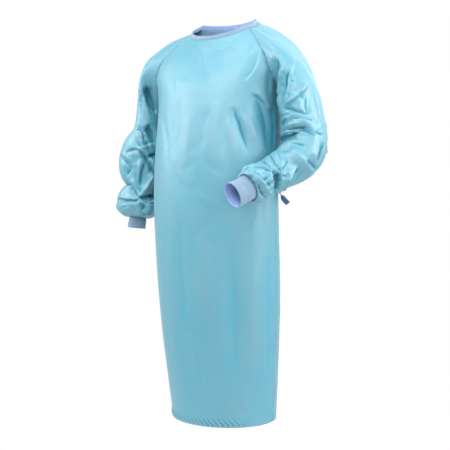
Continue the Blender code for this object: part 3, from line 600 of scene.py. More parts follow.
def around(rows, share):
    """The same on a closed loop, where a share of 1 is the first row again."""
    place = (share % 1.0) * len(rows)
    k = int(place)
    four = [rows[(k + step) % len(rows)] for step in (-1, 0, 1, 2)]
    return type(rows[0])(*[catmull(a, b, c, d, place - k) for a, b, c, d in zip(*four)])


def bow(a, pull, b, f):
    """A point on the bow from a to b that leaves and arrives towards a pull."""
    return a * (1 - f) ** 2 + pull * (2 * f * (1 - f)) + b * f * f


def as_array(grid):
    return np.array([[tuple(point) for point in row] for row in grid])


def arc_point(yoke, centre_x, share):
    """A point on the arc from the wearer's right edge, -1, through the middle, 0, to the left, 1."""
    spread = math.radians(yoke.spread)
    turn = share * spread
    towards = (math.cos(turn) - math.cos(spread)) / (1 - math.cos(spread))
    return Vector((
        centre_x + yoke.edge_x * math.sin(turn) / math.sin(spread),
        mix(yoke.edge_y, yoke.middle_y, towards),
        mix(yoke.edge_z, yoke.middle_z, towards),
    ))


def body_row(row, front):
    """The section of a row, hem 0 to neck, as a yoke row and its middle's x."""
    if row <= BODY_STEPS:
        level = along(LEVELS, row * (len(LEVELS) - 1) / BODY_STEPS)
        middle_y = level.front_y if front else level.back_y
        return Yoke(level.half_width, level.side_y, level.side_z, middle_y, level.z, 90.0), level.centre_x
    table = FRONT_YOKE if front else BACK_YOKE
    return along(table, (row - BODY_STEPS) * (len(table) - 1) / YOKE_STEPS), 0.0


def back_shares(row):
    """Where the columns of a back row lie, so that both flaps end on a column."""
    solid_row = row * SOLID_BODY_STEPS / BODY_STEPS
    if row > BODY_STEPS:
        solid_row = SOLID_BODY_STEPS + (row - BODY_STEPS) * SOLID_YOKE_STEPS / YOKE_STEPS
    overlap = along(OVERLAPS, solid_row / (SOLID_BODY_STEPS + SOLID_YOKE_STEPS) * (len(OVERLAPS) - 1))
    shares = [mix(-1, overlap.under_edge, k / BEFORE_UNDER) for k in range(BEFORE_UNDER)]
    shares += [mix(overlap.under_edge, overlap.outer_edge, k / UNDER_OUTER) for k in range(UNDER_OUTER)]
    return shares + [mix(overlap.outer_edge, 1, k / AFTER_OUTER) for k in range(AFTER_OUTER + 1)]


def softened(grid, spread):
    """The grid with its rows averaged over those beside them, but for the first few."""
    reach = 3 * spread
    kernel = np.exp(-0.5 * (np.arange(-reach, reach + 1) / spread) ** 2)
    kernel /= kernel.sum()
    padded = np.concatenate([grid, 2 * grid[-1:] - grid[-2:-2 - reach:-1]])
    soft = grid.copy()
    for row in range(reach, len(grid)):
        soft[row] = np.tensordot(kernel, padded[row - reach:row + reach + 1], axes=1)
    return soft


def panel(front):
    """The whole front or back, from hem to neck, rounded where body and yoke meet between its sides."""
    even = [2 * k / FRONT_COLUMNS - 1 for k in range(FRONT_COLUMNS + 1)]
    made = []
    for row in range(BODY_STEPS + YOKE_STEPS + 1):
        section, centre_x = body_row(row, front)
        shares = even if front else back_shares(row)
        made.append([arc_point(section, centre_x, share) for share in shares])
    grid = as_array(made)
    rows, columns = grid.shape[:2]
    from_line = np.abs(np.arange(rows) - BODY_STEPS) / CHEST_REACH
    from_side = np.minimum(np.arange(columns), np.arange(columns)[::-1]) / CHEST_EDGE
    share = (1 - eased(from_line))[:, None] * eased(from_side)[None, :]
    return Surface(mix(grid, softened(grid, CHEST_SPREAD), share[..., None]), False, 1 if front else -1)


def mirrored(point, side):
    return Vector((point.x * side, point.y, point.z))


def raglan_ring(side):
    """A sleeve's first ring: from the armpit up the front seam, over the neck edge, and down the back."""
    top = BODY_STEPS + YOKE_STEPS
    front = [arc_point(*body_row(row, True), side) for row in range(BODY_STEPS, top + 1)]
    back = [arc_point(*body_row(row, False), side) for row in range(BODY_STEPS + 1, top + 1)]
    pull = 2 * mirrored(NECK_SIDE, side) - (front[-1] + back[-1]) / 2
    neck = [bow(front[-1], pull, back[-1], k / NECK_STEPS) for k in range(1, NECK_STEPS)]
    return front + neck + back[::-1]


def frames(sleeve):
    """Each arm ring as its middle, its way along, its way outward, its way forward and its table row."""
    rows = [along(sleeve.arm, k * (len(sleeve.arm) - 1) / ARM_RINGS) for k in range(ARM_RINGS + 1)]
    middles = [Vector(row[:3]) for row in rows]
    made = []
    outward = Vector((sleeve.side, 0, 0))
    for k, middle in enumerate(middles):
        way = (middles[min(k + 1, ARM_RINGS)] - middles[max(k - 1, 0)]).normalized()
        outward = (outward - way * outward.dot(way)).normalized()
        made.append((middle, way, outward, way.cross(outward) * sleeve.side, rows[k]))
    return made


def ring_turns(count):
    """The angle of each ring point, a half turn at the armpit, 0 on the outer line."""
    return [math.pi * (1 - 2 * k / count) for k in range(count)]


def ellipse(middle, outward, forward, across, deep, roll, turn):
    """A point of a section whose axes are rolled about its middle line."""
    roll = math.radians(roll)
    wide = outward * math.cos(roll) + forward * math.sin(roll)
    tall = forward * math.cos(roll) - outward * math.sin(roll)
    return middle + wide * across * math.cos(turn - roll) + tall * deep * math.sin(turn - roll)


def gather(turn):
    """The gathers round a sleeve's end, uneven in depth."""
    return math.cos(GATHERS * turn + 0.8 * math.sin(2 * turn)) * (1 + 0.5 * math.sin(3 * turn + 1))


def sleeve_end(last_frame, tuck, turns):
    """The rings where the sleeve puffs over, turns in and lies back along the cuff."""
    middle, way, outward, forward, row = last_frame
    lap = (WALL + KNIT_WALL) / 2 + SEAM_GAP
    table = TURNS + (Turn(LIP, 1.0), Turn(LIP - tuck, 1.0))
    rings = []
    for step in range(1, (len(table) - 1) * TURN_STEPS + 1):
        bend = along(table, step / TURN_STEPS)
        inward = min(bend.inward, 1.0)
        here = middle + way * bend.along
        ring = []
        for angle in turns:
            wave = GATHER_DEPTH * gather(angle) * 4 * inward * (1 - inward)
            full = ellipse(here, outward, forward, row.across, row.deep, row.roll, angle)
            across, deep = CUFF_ACROSS + lap + wave, CUFF_DEEP + lap + wave
            ring.append(mix(full, ellipse(here, outward, forward, across, deep, row.roll, angle), inward))
        rings.append(ring)
    return rings


def hermite(a, leaving, b, arriving, f):
    return (
        a * (2 * f**3 - 3 * f**2 + 1) + leaving * (f**3 - 2 * f**2 + f)
        + b * (3 * f**2 - 2 * f**3) + arriving * (f**3 - f**2)
    )


def sleeve_surface(sleeve):
    """Rings from the raglan seam to the cuff, smoothed below the cap so that none cross at the elbow."""
    start = raglan_ring(sleeve.side)
    count = len(start)
    turns = ring_turns(count)
    arm_frames = frames(sleeve)
    rings = [
        [ellipse(middle, outward, forward, row.across, row.deep, row.roll, turn) for turn in turns]
        for middle, _, outward, forward, row in arm_frames
    ]
    arriving = arm_frames[0][1]
    cap = []
    for step in range(CAP_RINGS):
        ring = []
        for k, (first, last) in enumerate(zip(start, rings[0])):
            leaving = mirrored(Vector(around(sleeve.leaving, k / count)).normalized(), sleeve.side)
            reach = (last - first).length
            pull = leaving * reach * sleeve.leaving_pull
            ring.append(hermite(first, pull, last, arriving * reach, step / CAP_RINGS))
        cap.append(ring)
    grid = as_array(cap + rings + sleeve_end(arm_frames[-1], sleeve.tuck, turns))
    row = np.arange(len(grid))
    fade = 3 * ARM_SPREAD
    last = CAP_RINGS + ARM_RINGS - ARM_END
    share = eased((row - CAP_RINGS // 2) / fade) * eased((last - row) / fade)
    return Surface(mix(grid, softened(grid, ARM_SPREAD), share[:, None, None]), True, -sleeve.side)


# Folds and creases

def wrapped(grid, closed):
    """The grid with its first column again at its end, if it is closed."""
    return np.concatenate([grid, grid[:, :1]], axis=1) if closed else grid


def shared_normals(surfaces):
    """The outward normals of several surfaces, the same wherever their points meet."""
    flat = np.concatenate([surface.grid.reshape(-1, 3) for surface in surfaces])
    rounded = np.round(flat * PLACES_PER_METRE).astype(np.int64)
    places, index = np.unique(rounded, axis=0, return_inverse=True)
    index = index.reshape(-1)
    totals = np.zeros((len(places), 3))
    numbered, start = [], 0
    for grid, closed, outside in surfaces:
        size = grid.shape[0] * grid.shape[1]
        numbered.append(index[start:start + size].reshape(grid.shape[:2]))
        start += size
        g, n = wrapped(grid, closed), wrapped(numbered[-1], closed)
        area = np.cross(g[1:, 1:] - g[:-1, :-1], g[1:, :-1] - g[:-1, 1:]) * outside
        for corner in (n[:-1, :-1], n[:-1, 1:], n[1:, 1:], n[1:, :-1]):
            np.add.at(totals, corner.ravel(), area.reshape(-1, 3))
    totals /= np.maximum(np.linalg.norm(totals, axis=1, keepdims=True), 1e-12)
    return [totals[numbers] for numbers in numbered]


def bent(start, middle, end, steps):
    """Points on the curve from a start to an end that passes through a middle."""
    start, middle, end = (np.array(point, float) for point in (start, middle, end))
    return bow(start, 2 * middle - (start + end) / 2, end, np.linspace(0, 1, steps + 1)[:, None])


def within(points, line, reach):
    """The numbers of the points in the box round a line."""
    low, high = line.min(0) - reach, line.max(0) + reach
    return np.nonzero(((points > low) & (points < high)).all(1))[0]


def nearest_on_line(points, line):
    """For each point its place on the line, 0 to 1, the way to it from there, and the stretch's number."""
    best = np.full(len(points), np.inf)
    place = np.zeros(len(points))
    stretch = np.zeros(len(points), int)
    away = np.zeros((len(points), 3))
    for k in range(len(line) - 1):
        span = line[k + 1] - line[k]
        share = np.clip(((points - line[k]) @ span) / (span @ span), 0, 1)
        off = points - line[k] - share[:, None] * span
        far = (off**2).sum(1)
        nearer = far < best
        best[nearer] = far[nearer]
        place[nearer] = (k + share[nearer]) / (len(line) - 1)
        stretch[nearer] = k
        away[nearer] = off[nearer]
    return place, away, stretch


def aside_of(away, normals):
    """How far each point lies beside a line, along the cloth."""
    off = (away * normals).sum(1)
    return np.sqrt(np.maximum((away**2).sum(1) - off * off, 0))


def fold_heights(points, normals):
    """How far the solids' folds move each point out, as far as the scene has them."""
    total = np.zeros(len(points))
    for fold in SOLID_FOLDS:
        line = bent(fold.start, fold.middle, fold.end, FOLD_STEPS) * MM
        near = within(points, line, FOLD_REACH)
        place, away, _ = nearest_on_line(points[near], line)
        aside = aside_of(away, normals[near]) / (fold.width * MM)
        height = fold.height * MM * np.exp(-aside * aside) * (4 * place * (1 - place)) ** FOLD_FADE
        total[near] += np.where((away**2).sum(1) < FOLD_REACH**2, height, 0)
    return total * SOFT_SHARE


Laid = namedtuple("Laid", "line normals width height steep open_start open_end", defaults=(0, 0))


def crease_heights(points, normals, creases):
    """How far sharp creases move each point out. Cloth that faces away from a crease keeps still."""
    total = np.zeros(len(points))
    for crease in creases:
        near = within(points, crease.line, crease.width * CREASE_REACH)
        if not len(near):
            continue
        place, away, stretch = nearest_on_line(points[near], crease.line)
        facing = (normals[near] * crease.normals[stretch]).sum(1)
        left = np.cross(crease.normals[stretch], np.diff(crease.line, axis=0)[stretch])
        side = np.sign((away * left).sum(1))
        u = aside_of(away, normals[near]) / (crease.width * (1 - crease.steep * side))
        cusp = CREASE_CUSP / crease.width
        u = np.sqrt(u * u + cusp * cusp) - cusp
        shape = np.logaddexp(0, CREASE_FOOT * (1 - u / CREASE_SPAN)) / np.logaddexp(0, CREASE_FOOT)
        ends = eased(place / CREASE_END + crease.open_start)
        ends *= eased((1 - place) / CREASE_END + crease.open_end)
        total[near] += crease.height * shape * ends * eased(facing * CREASE_FACING)
    return total


def seen_at(pixels, points, normals):
    """The points of a surface that the photograph shows at some pixels."""
    made = []
    for x, y in pixels:
        ray = (
            np.array(INWARD) + np.array(RIGHTWARD) * (x - PX_MIDDLE) / FOCAL_PX
            + np.array((0, 0, 1.0)) * (PX_MIDDLE - y) / FOCAL_PX
        )
        ray /= np.linalg.norm(ray)
        away = points - np.array(CAMERA_AT)
        depth = away @ ray
        aside = np.linalg.norm(away - depth[:, None] * ray, axis=1)
        cost = depth + ASIDE_COST * aside + np.where(normals @ ray < TURNED_AWAY, 0, TURNED_COST)
        made.append(int(cost.argmin()))
    return made


def nearest(places, points, normals):
    """The points of a surface that lie nearest to some places in millimetres."""
    return [int(((points - place * MM) ** 2).sum(1).argmin()) for place in places]


def laid_creases(rows, points, normals, find):
    """Creases laid on a surface, through the points of it that are found for their lines."""
    made = []
    for row in rows:
        line = bent(row.start, row.middle, row.end, CREASE_STEPS)
        numbers = list(dict.fromkeys(find(line, points, normals)))
        if len(numbers) > 2:
            made.append(Laid(points[numbers], normals[numbers], row.width * MM, row.height * MM, *row[5:]))
    return made


def strewn_creases(strewn, surface, normals):
    """Small wrinkles in short bent lines over a surface, up and down by turns."""
    draw = random.Random(strewn.seed)
    rows, columns = surface.grid.shape[:2]
    made = []
    for number in range(strewn.count):
        row, column = draw.uniform(0, rows - 1), draw.uniform(0, columns - 1)
        lean = draw.uniform(-1, 1) * strewn.slant
        length = draw.uniform(*STREWN_LENGTH)
        sway = draw.uniform(-STREWN_SWAY, STREWN_SWAY)
        line, ways = [], []
        for k in range(STREWN_STEPS + 1):
            f = k / STREWN_STEPS - 0.5
            r = row + length * f * math.cos(lean) + sway * (0.25 - f * f)
            c = column + length * f * math.sin(lean) + sway * (0.25 - f * f)
            r = int(round(min(max(r, 0), rows - 1)))
            c = int(round(c)) % columns if surface.closed else int(round(min(max(c, 0), columns - 1)))
            line.append(surface.grid[r, c])
            ways.append(normals[r, c])
        line = np.array(line)
        if (np.linalg.norm(np.diff(line, axis=0), axis=1) < 1e-5).any():
            continue
        size = draw.uniform(*STREWN_SIZE)
        height = strewn.height * size * (1 if number % 2 else -1)
        steep = draw.uniform(-STREWN_STEEP, STREWN_STEEP)
        made.append(Laid(line, np.array(ways), strewn.width * size, height, steep))
    return made


def every_crease(surfaces, normals):
    """All creases, laid on the front, the back and the two sleeves."""
    points = [surface.grid.reshape(-1, 3) for surface in surfaces]
    ways = [way.reshape(-1, 3) for way in normals]
    made = []
    for k, rows in ((0, FRONT_CREASES), (2, LEFT_CREASES), (3, RIGHT_CREASES)):
        made += laid_creases(rows, points[k], ways[k], seen_at)
    made += laid_creases(BACK_CREASES, np.concatenate(points), np.concatenate(ways), nearest)
    for strewn, surface, way in zip(STREWN, surfaces, normals):
        made += strewn_creases(strewn, surface, way)
    return made


def gather_heights(grid):
    """The gathers that run up a sleeve from its end."""
    wave = np.array([gather(turn) for turn in ring_turns(grid.shape[1])])
    last = CAP_RINGS + ARM_RINGS
    row = np.arange(grid.shape[0])
    step = np.linalg.norm(grid[last - 1, 0] - grid[last - 2, 0])
    gone = np.where(row > last, (row - last) / GATHER_TURN_ROWS, (last - row) * step / GATHER_REACH)
    return (1 - eased(gone))[:, None] * wave[None, :] * GATHER_DEPTH * GATHER_SHARE


def hem_heights(grid):
    """Puckers along the hem, slanting as a narrow hem does, and its edge where it is sewn."""
    spans = np.linalg.norm(np.diff(grid, axis=1), axis=2)
    across = np.concatenate([np.zeros((grid.shape[0], 1)), np.cumsum(spans, axis=1)], axis=1)
    up = grid[:, :, 2] - grid[:1, :, 2]
    long, short = HEM_UNEVEN
    uneven = 1 + 0.6 * np.sin(across / long + 1) + 0.4 * np.sin(across / short)
    waves = HEM_PUCKER * uneven * np.sin(2 * math.pi * (across / HEM_PITCH + up / HEM_SLANT))
    waves *= 1 - eased((up - PUCKER_TOP) / PUCKER_FADE)
    waves *= mix(PUCKER_AT_EDGE, 1, eased(up / PUCKER_RISE))
    return waves + HEM_STEP * (1 - eased((up - HEM_DEPTH + SEAM_INSET) / HEM_STEP_FADE))


def displaced(surfaces, heights):
    return [
        surface._replace(grid=surface.grid + way * height[..., None])
        for surface, way, height in zip(surfaces, shared_normals(surfaces), heights)
    ]


def heights_of(surfaces, normals, measure):
    return [
        measure(surface.grid.reshape(-1, 3), way.reshape(-1, 3)).reshape(surface.grid.shape[:2])
        for surface, way in zip(surfaces, normals)
    ]


def bends(surface, normals):
    """How sharply the cloth is bent hollow at each point, in radians a metre."""
    grid = surface.grid
    total = np.zeros(grid.shape[:2])
    for axis in (0, 1):
        ahead, behind = np.roll(grid, -1, axis), np.roll(grid, 1, axis)
        step = np.maximum(np.linalg.norm(ahead - behind, axis=2) / 2, SHORTEST_STEP)
        bend = ((ahead + behind - 2 * grid) * normals).sum(2) / step**2
        if axis == 0 or not surface.closed:
            edges = [slice(None), slice(None)]
            edges[axis] = [0, -1]
            bend[tuple(edges)] = 0
        total += bend
    beside = [np.roll(total, step, axis) for axis in (0, 1) for step in (-1, 1)]
    return total / 2 + sum(beside) / 8


def crests_of(plain, folded, heights):
    """How far each point lies on a crest, up to 1, or in a hollow, down to -2."""
    before = [bends(surface, ways) for surface, ways in zip(plain, shared_normals(plain))]
    after = [bends(surface, ways) for surface, ways in zip(folded, shared_normals(folded))]
    return [
        np.clip(height / CREST_HEIGHT - (new - old) / CREST_BEND, -2, 1)
        for old, new, height in zip(before, after, heights)
    ]


def draw_in_seams(heights):
    """Lets the cloth dip along the seams."""
    front, back, left, right = heights
    for edge in (front[:, 0], front[:, -1], back[:, 0], back[:, -1], left[0], right[0]):
        edge -= SEAM_DIP


def gown():
    """The front, the back and both sleeves with all their folds, and each point's crest."""
    plain = [panel(True), panel(False), sleeve_surface(LEFT_SLEEVE), sleeve_surface(RIGHT_SLEEVE)]
    soft = heights_of(plain, shared_normals(plain), fold_heights)
    draped = displaced(plain, soft)
    normals = shared_normals(draped)
    creases = every_crease(draped, normals)
    sharp = heights_of(draped, normals, lambda points, ways: crease_heights(points, ways, creases))
    finer = (hem_heights, hem_heights, gather_heights, gather_heights)
    sharp = [height + more(surface.grid) for height, more, surface in zip(sharp, finer, draped)]
    draw_in_seams(sharp)
    folded = displaced(draped, sharp)
    return folded, crests_of(plain, folded, [a + b for a, b in zip(soft, sharp)])


# Pieces of cloth

def outer_flap(back, normals):
    """The flap on top, lifted off the one below from near its seam, with its free edge lying down."""
    last = BEFORE_UNDER + UNDER_OUTER
    lift = np.array([
        SHEET_LIFT * ease((column - FLAP_RISE) / FLAP_RISE)
        - (SHEET_LIFT - EDGE_LIFT) * ease((column - last + EDGE_FALL) / EDGE_FALL)
        for column in range(last + 1)
    ])
    return back._replace(grid=back.grid[:, :last + 1] + normals[:, :last + 1] * lift[None, :, None])


def band_way(point):
    """The way the band stands from the neckline: up, and a little towards the middle of the neck."""
    inward = Vector((-point[0], -point[1], 0)).normalized()
    lean = mix(BAND_LEAN, BAND_SIDE_LEAN, inward.x**4)
    return (Vector((0, 0, 1)) + inward * lean).normalized()


def neck_band(front, left, right, under, outer):
    """The band, from the under flap's corner round the neck to the outer flap's corner."""
    first = YOKE_STEPS
    last = YOKE_STEPS + NECK_STEPS
    path = np.concatenate([
        under.grid[-1], left.grid[0][last - 1:first:-1], front.grid[-1][::-1],
        right.grid[0][first + 1:last], outer.grid[-1],
    ])
    ways = np.array([tuple(band_way(point)) for point in path])
    rows = [path + ways * BAND_HEIGHT * r / BAND_ROWS for r in range(BAND_ROWS + 1)]
    return Surface(np.array(rows), False, -1)


def pulled(grid, seams):
    """The grid with its seam edges drawn back by half the gap between shells."""
    made = grid.copy()
    edges = {
        "bottom": (np.s_[0], np.s_[1]), "top": (np.s_[-1], np.s_[-2]),
        "first": (np.s_[:, 0], np.s_[:, 1]), "last": (np.s_[:, -1], np.s_[:, -2]),
    }
    for seam in seams:
        edge, inner = edges[seam]
        way = grid[inner] - grid[edge]
        way /= np.linalg.norm(way, axis=-1, keepdims=True)
        made[edge] = made[edge] + way * SHELL_GAP / 2
    return made


def cloth_uv(grid):
    """How far each point lies along its row and up its column, in metres of cloth."""
    u = np.concatenate([[0], np.cumsum(np.linalg.norm(np.diff(grid, axis=1), axis=2).mean(0))])
    v = np.concatenate([[0], np.cumsum(np.linalg.norm(np.diff(grid, axis=0), axis=2).mean(1))])
    return np.stack(np.meshgrid(u, v), axis=-1)


def linked(name, mesh):
    """A new object of the scene, with a mesh, lamp or camera of its own."""
    made = bpy.data.objects.new(name, mesh)
    bpy.context.scene.collection.objects.link(made)
    return made


def shell_faces(numbers, surface):
    """A thin wall's faces in fours: its outer skin, its inner skin, and the rims that join them."""
    quads = np.stack([numbers[:-1, :-1], numbers[:-1, 1:], numbers[1:, 1:], numbers[1:, :-1]], axis=-1)
    quads = quads.reshape(-1, 4)
    if surface.closed:
        loops = [numbers[0], numbers[-1][::-1]]
    else:
        loops = [np.concatenate([numbers[0], numbers[1:, -1], numbers[-1, -2::-1], numbers[-2::-1, 0]])]
    other = surface.grid.shape[0] * surface.grid.shape[1]
    rims = [np.stack([loop[:-1], loop[1:], loop[1:] + other, loop[:-1] + other], axis=-1) for loop in loops]
    if surface.outside > 0:
        return quads, quads[:, ::-1] + other, [rim[:, ::-1] for rim in rims]
    return quads[:, ::-1], quads + other, rims


def shell_uv(mesh, surface, skin):
    """Each corner's place on the cloth. A closed surface's last faces end a whole turn on."""
    rows, columns = surface.grid.shape[:2]
    uv = cloth_uv(wrapped(surface.grid, surface.closed))
    loop_points = np.zeros(len(mesh.loops), np.int32)
    mesh.loops.foreach_get("vertex_index", loop_points)
    corner_uv = np.tile(uv[:, :columns].reshape(-1, 2), (2, 1))[loop_points]
    if surface.closed:
        seam_faces = np.arange(skin).reshape(rows - 1, columns)[:, -1]
        for base in (0, skin):
            corners = (seam_faces[:, None] + base) * 4 + np.arange(4)[None]
            turned_round = loop_points[corners] % (rows * columns) % columns == 0
            corner_uv[corners[turned_round], 0] = uv[0, -1, 0]
    return corner_uv.astype(np.float32).ravel()


def shell(name, surface, normals, cloth, crest=None, seams=()):
    """A closed thin wall about a surface, of a thickness and with a look on each side."""
    thickness, outer_look, inner_look = cloth
    drawn = pulled(surface.grid, seams)
    points = np.concatenate([
        (drawn + normals * thickness / 2).reshape(-1, 3), (drawn - normals * thickness / 2).reshape(-1, 3),
    ])
    rows, columns = surface.grid.shape[:2]
    numbers = wrapped(np.arange(rows * columns).reshape(rows, columns), surface.closed)
    outer, inner, rims = shell_faces(numbers, surface)
    skin = len(outer)
    faces = np.concatenate([outer, inner] + rims)
    mesh = bpy.data.meshes.new(name)
    mesh.from_pydata(points.tolist(), [], faces.tolist())
    mesh.materials.append(outer_look)
    mesh.materials.append(inner_look)
    looks = np.zeros(len(faces), np.int32)
    looks[skin:2 * skin] = 1
    mesh.polygons.foreach_set("material_index", looks)
    mesh.uv_layers.new(name="cloth").data.foreach_set("uv", shell_uv(mesh, surface, skin))
    if crest is not None:
        attribute = mesh.attributes.new("crest", "FLOAT", "POINT")
        attribute.data.foreach_set("value", np.tile(crest.reshape(-1), 2).astype(np.float32))
    mesh.validate()
    mesh.update()
    smooth = np.ones(len(faces), bool)
    smooth[2 * skin:] = False
    mesh.polygons.foreach_set("use_smooth", smooth)
    return linked(name, mesh)


def lone_shell(name, surface, cloth, crest=None):
    return shell(name, surface, shared_normals([surface])[0], cloth, crest)


def put_on(piece, *nodes):
    """Lets a piece ride on the gown and stand for its nodes."""
    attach(piece, "root")
    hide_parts(*nodes)
    return piece


def knit_cuff(sleeve):
    """The cuff's rings, narrower where its ribs lie low, and its mouth where the fabric folds over."""
    middle, way, outward, forward, row = frames(sleeve)[-1]
    start = LIP - sleeve.tuck - CUFF_LAP
    long_sag, short_sag = CUFF_SAGS
    rings = []
    for k in range(CUFF_RINGS + 1):
        f = k / CUFF_RINGS
        here = middle + way * (start + CUFF_LENGTH * f)
        swell = CUFF_ROLL * math.sin(9 * f) - CUFF_WAIST * math.sin(math.pi * f)
        ring = []
        for turn in ring_turns(CUFF_POINTS):
            flat = MOUTH_SMOOTHING * ease((f - CUFF_MOUTH) / CUFF_FADE)
            rib = RIB_DEPTH * math.cos(RIBS * turn) * (1 - flat)
            sag = long_sag * math.sin(3 * turn + 5 * f + sleeve.side)
            sag += short_sag * math.sin(5 * turn - 8 * f)
            size = swell + rib + sag * math.sin(math.pi * min(f * 1.1, 1.0))
            across, deep = CUFF_ACROSS + size, CUFF_DEEP + size
            ring.append(ellipse(here, outward, forward, across, deep, row.roll, turn))
        rings.append(ring)
    return Surface(as_array(rings), True, -sleeve.side)


def place_at(height):
    """The place among the body's rows, 0 at the hem, that lies at a height below the armpits."""
    low, high = 0.0, float(BODY_STEPS)
    for _ in range(HALVINGS):
        middle = (low + high) / 2
        if body_row(middle, True)[0].edge_z < height:
            low = middle
        else:
            high = middle
    return low


def side_frame(share):
    """A point at the waist on the wearer's left, with its ways forward, up and out."""
    def spot(place, at):
        return arc_point(*body_row(place, at > 1), at if at < 1 else 2 - at)

    place = place_at(TIE_HEIGHT)
    step = 0.1 * BODY_STEPS / SOLID_BODY_STEPS
    forward = (spot(place, share + TIE_STEP) - spot(place, share - TIE_STEP)).normalized()
    up = (spot(place + step, share) - spot(place - step, share)).normalized()
    return spot(place, share), forward, up, up.cross(forward).normalized()


def ribbon(stations):
    """A flat ribbon from its middle points and the ways its width runs."""
    across = [TIE_WIDTH * (k / (TAPE_COLUMNS - 1) - 0.5) for k in range(TAPE_COLUMNS)]
    rows = [[point + width * aside for aside in across] for point, width in stations]
    return Surface(as_array(rows), False, 1)


def tie_run(first_share, inset, start_lift):
    """The ribbon on the cloth from a share to the knot, which it rises to and ends short of."""
    stations = []
    for k in range(TAPE_STEPS + 1):
        f = k / TAPE_STEPS
        point, forward, up, out = side_frame(mix(first_share, KNOT_SHARE, f))
        sway = TIE_SWAY * math.sin(7 * f + first_share) * math.sin(math.pi * f)
        lift = mix(start_lift, ON_FLAP, ease(f * TIE_RISE)) + abs(sway)
        width = (up + out * TIE_CURL * math.sin(5 * f) * math.sin(math.pi * f)).normalized()
        stations.append((point + forward * inset * f + out * lift + up * sway * 1.5, width))
    return ribbon(stations)


def tie_tail(knot_frame):
    """The free end, down and out from under the knot, which twists to show its flat side."""
    point, forward, up, out = knot_frame
    start = point + out * ON_FLAP - up * (KNOT_SIZE.y / 2 - KNOT_LAP / 2)
    turned = (out * TAIL_DROP + up * TAIL_OUT).normalized()
    stations = []
    for k in range(TAPE_STEPS + 1):
        f = k / TAPE_STEPS
        curl = TAIL_CURL * math.sin(6 * f) * f
        here = start + out * (TAIL_OUT * f**1.3 + curl) - up * TAIL_DROP * f + forward * TAIL_FORWARD * f
        stations.append((here, mix(forward, turned, ease(f * TAIL_TWIST)).normalized()))
    return ribbon(stations)


KnotTurn = namedtuple("KnotTurn", "name along_way across_way half_along half_out width")


def knot_surface(turn_row, middle, out):
    """One turn of the tape round the knot, as rows across its width, each a closed loop."""
    made = []
    for row in range(KNOT_ROWS):
        aside = row / (KNOT_ROWS - 1) - 0.5
        tuck = 1 - KNOT_TUCK * (2 * abs(aside)) ** 3
        loop = []
        for k in range(KNOT_POINTS):
            turn = 2 * math.pi * k / KNOT_POINTS
            crease = 1 + KNOT_CREASE * math.sin(4 * turn + 9 * aside)
            loop.append(
                middle + turn_row.across_way * aside * turn_row.width
                + turn_row.along_way * turn_row.half_along * tuck * math.cos(turn)
                + out * turn_row.half_out * tuck * crease * math.sin(turn)
            )
        made.append(loop)
    surface = Surface(as_array(made), True, 1)
    outward = ((surface.grid - np.array(middle)) * shared_normals([surface])[0]).sum()
    return surface if outward > 0 else surface._replace(outside=-1)


def inset_line(surface, normals, edge, distance):
    """The line on a surface at a distance from one of its edges, and the normals along it."""
    turned = {
        "bottom": lambda a: a,
        "first": lambda a: a.swapaxes(0, 1),
        "last": lambda a: a.swapaxes(0, 1)[::-1],
    }[edge]
    points, ways = turned(surface.grid)[:INSET_ROWS], turned(normals)[:INSET_ROWS]
    spans = np.linalg.norm(np.diff(points, axis=0), axis=2)
    far = np.concatenate([np.zeros((1, points.shape[1])), np.cumsum(spans, axis=0)])

    def at_distance(values):
        return np.array([
            [np.interp(distance, far[:, column], values[:, column, axis]) for axis in range(3)]
            for column in range(values.shape[1])
        ])

    return at_distance(points), at_distance(ways)


def thread_faces(count, start):
    """The faces of many threads at once, whose points are numbered ring by ring from a start."""
    def corner(ring, k):
        return start + np.arange(count) + (ring * STITCH_SIDES + k % STITCH_SIDES) * count

    faces = []
    last = len(STITCH_RINGS) - 1
    for ring in range(last):
        for k in range(STITCH_SIDES):
            faces.append((
                corner(ring, k), corner(ring, k + 1), corner(ring + 1, k + 1), corner(ring + 1, k),
            ))
    faces.append([corner(0, k) for k in reversed(range(STITCH_SIDES))])
    faces.append([corner(last, k) for k in range(STITCH_SIDES)])
    return [np.stack(face, axis=1) for face in faces]


def stitches(name, lines, lift, look):
    """Threads that lie on the cloth in short bent lengths, along each of several lines."""
    faces, points = [], []
    for line, facing in lines:
        far = np.concatenate([[0], np.cumsum(np.linalg.norm(np.diff(line, axis=0), axis=1))])
        count = int(far[-1] / STITCH_PITCH)
        middles = (np.arange(count) + 0.5) * STITCH_PITCH

        def at(values, places):
            return np.stack([np.interp(places, far, values[:, axis]) for axis in range(3)], axis=1)

        up = at(facing, middles)
        up /= np.linalg.norm(up, axis=1, keepdims=True)
        way = at(line, middles + STITCH_AIM) - at(line, middles - STITCH_AIM)
        way /= np.linalg.norm(way, axis=1, keepdims=True)
        aside = np.cross(up, way)
        faces += thread_faces(count, sum(len(ring) for ring in points))
        for place, size, rise in STITCH_RINGS:
            centre = at(line, middles + place * STITCH_LENGTH) + up * (lift + rise * STITCH_RADIUS)
            for k in range(STITCH_SIDES):
                turn = 2 * math.pi * k / STITCH_SIDES
                spoke = aside * math.cos(turn) + up * math.sin(turn)
                points.append(centre + spoke * STITCH_RADIUS * size)
    mesh = bpy.data.meshes.new(name)
    mesh.from_pydata(np.concatenate(points).tolist(), [], np.concatenate(faces).tolist())
    mesh.materials.append(look)
    mesh.update()
    mesh.shade_smooth()
    return linked(name, mesh)


# Materials

def opaque(colour):
    """A plain colour with its alpha, or else the socket that is given."""
    return (*colour, 1) if isinstance(colour, tuple) else colour


